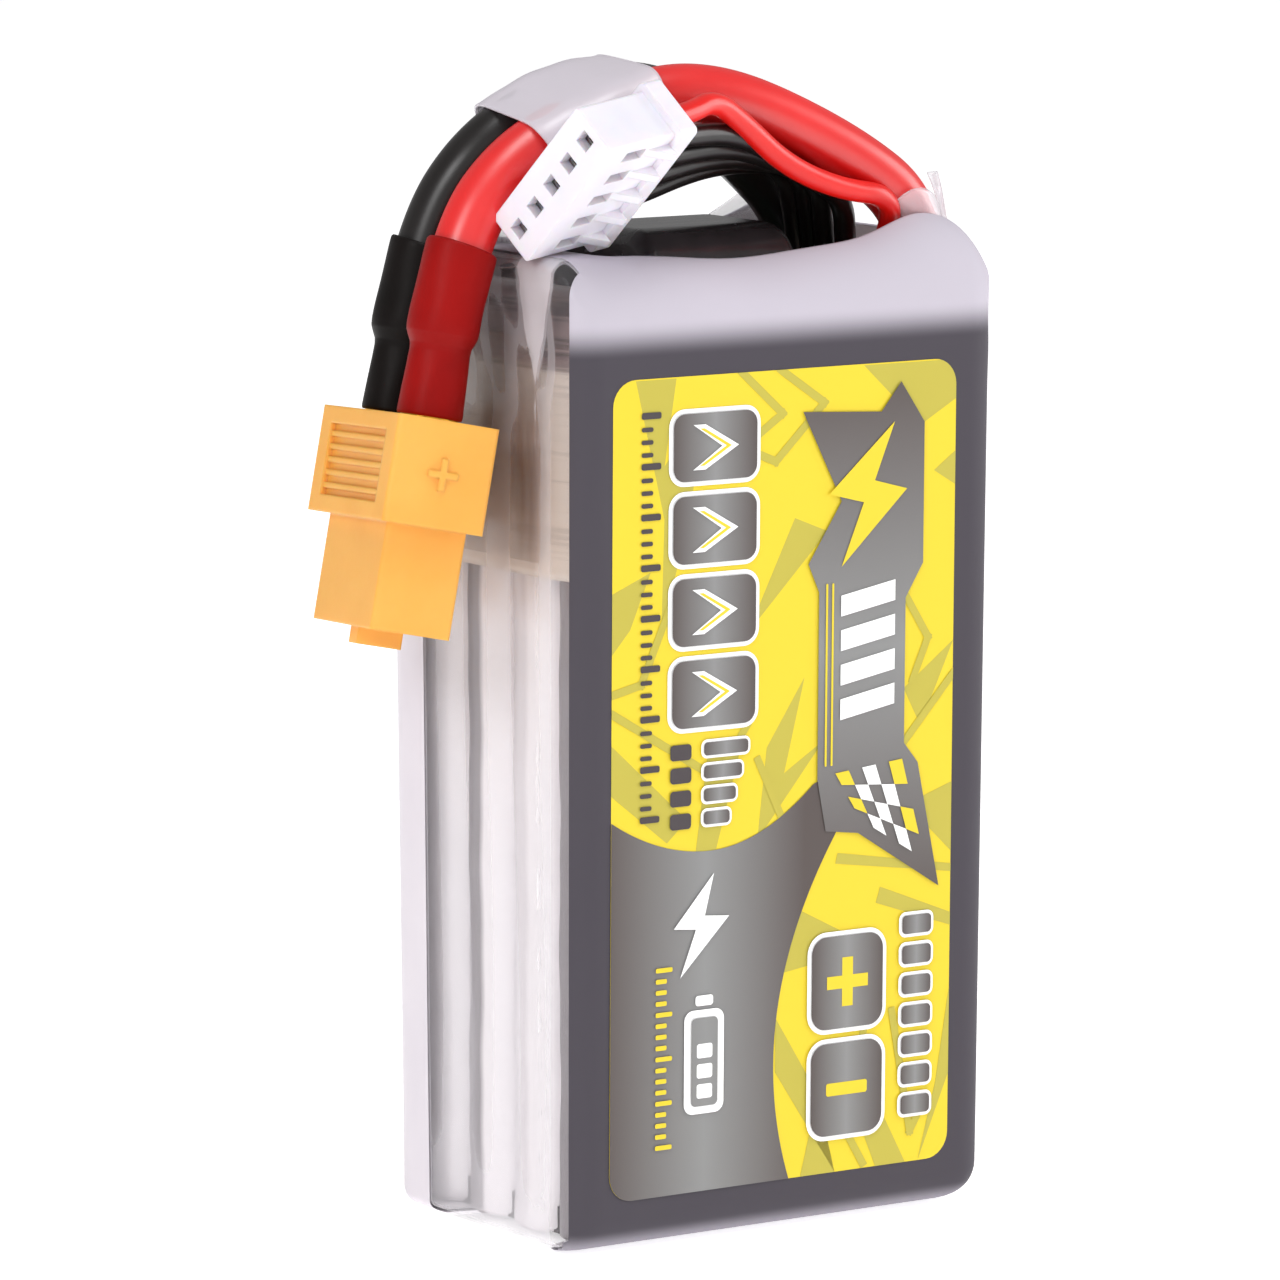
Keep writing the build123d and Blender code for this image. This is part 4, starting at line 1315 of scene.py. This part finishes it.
    def framed(self, layer: int, x: float, y: float, width: float, height: float, radius: float,
               rim: float = 0.36) -> None:
        """A shaded rounded box with a white line round it."""
        line = self.rounded(x - rim, y - rim, width + 2 * rim, height + 2 * rim, radius + rim)
        self.add(Ink.WHITE, layer, line)
        self.add(Ink.SHADED, layer + 1, self.rounded(x, y, width, height, radius), (x, x + width))

    def draw_gauge(self) -> None:
        """Four charge bars, each with a chevron window, beside a graduated scale."""
        for y in (54.2, 48.0, 41.8, 35.6):
            self.framed(3, 5.3, y, 7.5, 5.1, 1.0)
            self.add(Ink.WHITE, 5, [(7.0, y + 0.85), (8.1, y + 0.85), (11.1, y + 2.55), (8.1, y + 4.25),
                                    (7.0, y + 4.25), (9.6, y + 2.55)])
            self.add(Ink.YELLOW, 6, [(7.6, y + 1.15), (8.0, y + 1.15), (10.45, y + 2.55), (8.0, y + 3.95),
                                     (7.6, y + 3.95), (10.0, y + 2.55)])
        for step in range(33):
            long = step % 4 == 0
            wide, tall = (1.75, 0.5) if long else (1.05, 0.34)
            self.add(Ink.DARK, 3, self.rounded(2.5, 59.1 - step * 0.95, wide, tall, 0.16))
        for step in range(4):
            self.framed(3, 8.2, 33.4 - step * 1.75, 4.0 - 0.55 * step, 1.0, 0.3, 0.22)
            self.add(Ink.DARK, 3, self.rounded(5.2, 33.2 - step * 1.75, 1.9, 1.2, 0.3))

    def draw_emblem(self) -> None:
        """A dark pointed plate with white slanting bars, a lightning bolt and a chequered tail."""
        plate = [(17.0, 58.8), (24.2, 58.4), (26.0, 60.6), (28.2, 57.4), (28.2, 46.6), (26.6, 44.0),
                 (26.6, 32.8), (27.9, 31.2), (30.0, 21.4), (22.4, 26.2), (19.4, 26.6), (18.6, 30.6),
                 (18.6, 45.0), (17.6, 47.2), (20.6, 51.8)]
        self.add(Ink.SHADED, 3, plate, (20.0, 61.0), True)
        bolt = [(25.4, 57.6), (19.4, 52.4), (22.6, 51.6), (20.6, 46.8), (26.6, 52.4), (23.6, 53.2)]
        self.add(Ink.YELLOW, 4, bolt)
        for step in range(4):
            y = 43.0 - step * 2.65
            self.add(Ink.WHITE, 4, [(20.6, y), (25.6, y + 0.9), (25.6, y + 2.5), (20.6, y + 1.6)])
        for x in (19.2, 19.75):
            self.add(Ink.YELLOW, 4, self.rounded(x, 31.6, 0.18, 14.0, 0.08))
        corners = np.array([(20.2, 31.0), (26.4, 31.6), (28.6, 23.6), (22.6, 27.2)])

        def flag(u: float, v: float) -> Array:
            """The point a share u across and v down the flag's four corners."""
            top, foot = corners[0] + u * (corners[1] - corners[0]), corners[3] + u * (corners[2] - corners[3])
            return top + v * (foot - top)

        for row in range(4):
            for column in range(5):
                if (row + column) % 2 == 0:
                    u, v = column / 5, row / 4
                    tile = [flag(u, v), flag(u + 0.2, v), flag(u + 0.2, v + 0.25), flag(u, v + 0.25)]
                    self.add(Ink.WHITE if 0 < column < 4 else Ink.YELLOW, 4, tile)

    def draw_foot(self) -> None:
        """Two framed marks with a plus and a bar, a column of blocks, a cell symbol, a bolt and a scale."""
        self.framed(3, 18.2, 11.2, 6.6, 7.2, 1.3)
        self.framed(3, 18.2, 2.9, 6.6, 7.2, 1.3)
        arm, bar, x, y = 1.9, 0.5, 21.5, 14.8
        self.add(Ink.YELLOW, 5, [(x - bar, y - arm), (x + bar, y - arm), (x + bar, y - bar),
                                 (x + arm, y - bar), (x + arm, y + bar), (x + bar, y + bar),
                                 (x + bar, y + arm), (x - bar, y + arm), (x - bar, y + bar),
                                 (x - arm, y + bar), (x - arm, y - bar), (x - bar, y - bar)])
        self.add(Ink.YELLOW, 5, self.rounded(x - arm, 6.0, 2 * arm, 2 * bar, 0.2))
        for step in range(7):
            self.framed(3, 26.6, 17.9 - step * 2.35, 2.7, 1.45, 0.35, 0.26)
        self.add(Ink.WHITE, 3, self.rounded(6.6, 6.0, 3.6, 8.0, 0.8))
        self.add(Ink.SHADED, 4, self.rounded(7.2, 6.6, 2.4, 6.8, 0.4), (-0.5, 17.5))
        self.add(Ink.WHITE, 3, self.rounded(7.6, 14.3, 1.6, 0.8, 0.25))
        for step in range(3):
            self.add(Ink.WHITE, 5, self.rounded(7.7, 7.2 + step * 1.55, 1.4, 1.1, 0.2))
        bolt = [(9.2, 24.4), (5.6, 20.4), (7.6, 20.2), (6.2, 16.6), (10.6, 21.0), (8.4, 21.2)]
        self.add(Ink.WHITE, 3, bolt)
        for step in range(17):
            long = step % 4 == 0
            self.add(Ink.YELLOW, 3, self.rounded(4.0, 17.2 - step * 0.85, 1.5 if long else 1.0, 0.36, 0.12))

    def build(self) -> None:
        """Draws the panel and makes its mesh on the film's sloping face, each shape a little prouder."""
        self.draw_ground()
        self.draw_gauge()
        self.draw_emblem()
        self.draw_foot()
        inks = list(Ink)
        verts, faces, slots, tones = [], [], [], []
        stacked = sorted(self.shapes, key=lambda shape: shape[1])
        for order, (ink, _, outline, (low, high), upright) in enumerate(stacked):
            if len(outline) < 3:
                continue
            after = np.roll(outline, -1, axis=0)
            area = np.sum(outline[:, 0] * after[:, 1] - after[:, 0] * outline[:, 1])
            if area < 0:
                outline = outline[::-1]
            start = len(verts)
            x = self.left + outline[:, 0]
            z = self.bottom + outline[:, 1]
            y = self.sleeve.front_at(z) - self.stand_off - self.lift * order
            points = np.stack([x, y, z], -1)
            if self.back:
                points = points * (-1, -1, 1)
            verts += points.tolist()
            tone = (outline[:, 1 if upright else 0] - low) / (high - low)
            flat = [Vector((p[0], p[1], 0)) for p in outline]
            for triangle in tessellate_polygon([flat]):
                a, b, c = (outline[i] for i in triangle)
                if (b[0] - a[0]) * (c[1] - a[1]) - (b[1] - a[1]) * (c[0] - a[0]) < 0:
                    triangle = triangle[::-1]
                faces.append([start + i for i in triangle])
                slots.append(inks.index(ink))
                tones += [(tone[i], 0.5) for i in triangle]
        made = new_object(self.name, np.array(verts), faces, [ink.make() for ink in inks], np.array(slots),
                          smooth=False)
        made.data.uv_layers.new(name="tone").data.foreach_set("uv", np.array(tones, float).ravel())
        LOG.info("%s, %d shapes", self.name, len(self.shapes))


# ---------------------------------------------------------------- studio
@dataclass
class Studio:
    """A pale floor, soft light and the camera.

    Attributes:
        azimuth, elevation: the camera's angles, in degrees.
        distance, target: how far it stands from what it looks at, and where that is, in mm.
        lens: its focal length, in mm, for a 36 mm sensor.
        surround: brightness of the surroundings as a light.
        floor_glow, floor_height: strength of the floor's own light, and its height in m.
        aim: where the lights point, in m.
        lights: name, place, width and height, all in m, and power in watts.
    """

    azimuth: float = -33.3685
    elevation: float = 8.1487
    distance: float = 566.16
    target: tuple[float, float, float] = (-4.602, 0.0, 44.198)
    lens: float = 207.9
    surround: float = 0.36
    floor_glow: float = 0.64
    floor_height: float = -0.0002
    aim: tuple[float, float, float] = (0.0, 0.0, 0.04)
    lights: tuple = (
        ("key_light", (-0.95, -0.4, 0.6), (0.35, 0.35), 3.7),
        ("front_light", (-0.35, -1.0, 0.35), (0.8, 0.6), 0.7),
        ("right_light", (0.85, -0.3, 0.25), (0.5, 0.6), 4.4),
        ("top_light", (-0.1, -0.25, 0.8), (0.4, 0.3), 2.6))

    def place_camera(self) -> None:
        """Stands the camera at its angle round the target."""
        a, e = math.radians(self.azimuth), math.radians(self.elevation)
        back = Vector((math.sin(a) * math.cos(e), -math.cos(a) * math.cos(e), math.sin(e)))
        camera = bpy.data.objects.new("camera", bpy.data.cameras.new("camera"))
        camera.data.lens = self.lens
        camera.data.sensor_width = 36.0
        camera.data.clip_start, camera.data.clip_end = 0.01, 50.0
        camera.location = (Vector(self.target) + back * self.distance) * MM
        camera.rotation_euler = (-back).to_track_quat("-Z", "Y").to_euler()
        bpy.context.scene.collection.objects.link(camera)
        bpy.context.scene.camera = camera

    def add_light(self, name: str, place: tuple[float, float, float], size: tuple[float, float],
                  power: float) -> None:
        """Adds a soft rectangular light that faces the pack's middle.

        Args:
            name: the light's name.
            place: its middle, in m.
            size: its width and height, in m.
            power: in watts.
        """
        light = bpy.data.lights.new(name, "AREA")
        light.shape, light.size, light.size_y, light.energy = "RECTANGLE", *size, power
        lamp = bpy.data.objects.new(name, light)
        lamp.location = place
        lamp.rotation_euler = (Vector(self.aim) - Vector(place)).to_track_quat("-Z", "Y").to_euler()
        bpy.context.scene.collection.objects.link(lamp)

    def build(self) -> None:
        """Makes the floor, the lights, the pale surroundings and the camera."""
        mesh = bpy.data.meshes.new("floor")
        reach = 6.0
        corners = [(-reach, -reach), (reach, -reach), (reach, reach), (-reach, reach)]
        mesh.from_pydata([(x, y, self.floor_height) for x, y in corners], [], [(0, 1, 2, 3)])
        floor = bpy.data.objects.new("floor", mesh)
        bpy.context.scene.collection.objects.link(floor)
        board = Finish("matt white studio board", "#fbfbfb", "#f8f8f8", 300, 0.8, 2.0, 0.01).make()
        glow = board.node_tree.nodes["Principled BSDF"]
        glow.inputs["Emission Color"].default_value = (1, 1, 1, 1)
        glow.inputs["Emission Strength"].default_value = self.floor_glow
        mesh.materials.append(board)
        world = bpy.data.worlds.new("studio")
        world.use_nodes = True
        seen = add_node(world.node_tree, "LightPath").outputs["Is Camera Ray"]
        strength = add_node(world.node_tree, "MapRange", {"Value": seen, "To Min": self.surround,
                                                          "To Max": 1.0})
        background = world.node_tree.nodes["Background"]
        background.inputs["Color"].default_value = (1, 1, 1, 1)
        world.node_tree.links.new(strength.outputs["Result"], background.inputs["Strength"])
        bpy.context.scene.world = world
        for light in self.lights:
            self.add_light(*light)
        bpy.context.scene.view_settings.view_transform = "Standard"
        self.place_camera()
        LOG.info("studio")


# ---------------------------------------------------------------- the rest of the CAD nodes
NODE_FINISHES: dict[str, Finish | ClearFilm] = {
    "power_plug_housing": AMBER_NYLON, "balance_plug_housing": WHITE_NYLON, "positive_socket": GOLD,
    "negative_socket": GOLD, "balance_contacts": TIN, "positive_stripped_ends": COPPER,
    "negative_stripped_ends": COPPER, "solder_joints": SOLDER, "balance_board": BOARD,
    "cell_insulator": FISH_PAPER, "cell_tape_pads": WHITE_TAPE, "positive_tabs": ALUMINIUM,
    "negative_tabs": NICKEL, "tab_seal_strips": SEAL, "polyimide_tape": POLYIMIDE_FILM,
    "bottom_pad": BLACK_FOAM, "top_pad": BLACK_FOAM}


def dress_nodes() -> None:
    """Gives each CAD node that stays its own finish."""
    for name, finish in NODE_FINISHES.items():
        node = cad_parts[name]
        node.data.materials.clear()
        node.data.materials.append(finish.make())
        LOG.info("dressed %s", name)


def main() -> None:
    """Builds the pack and its studio in order."""
    logging.basicConfig(level=logging.INFO, format="%(message)s")
    Studio().build()
    red_lead = Harness().build()
    sleeve = Sleeve()
    sleeve.build()
    Pouches().build()
    FibreBand().build()
    FilmEnds(red_lead).build()
    Label(sleeve, "front_label").build()
    Label(sleeve, "back_label", back=True).build()
    dress_nodes()


if __name__ == "__main__":
    main()
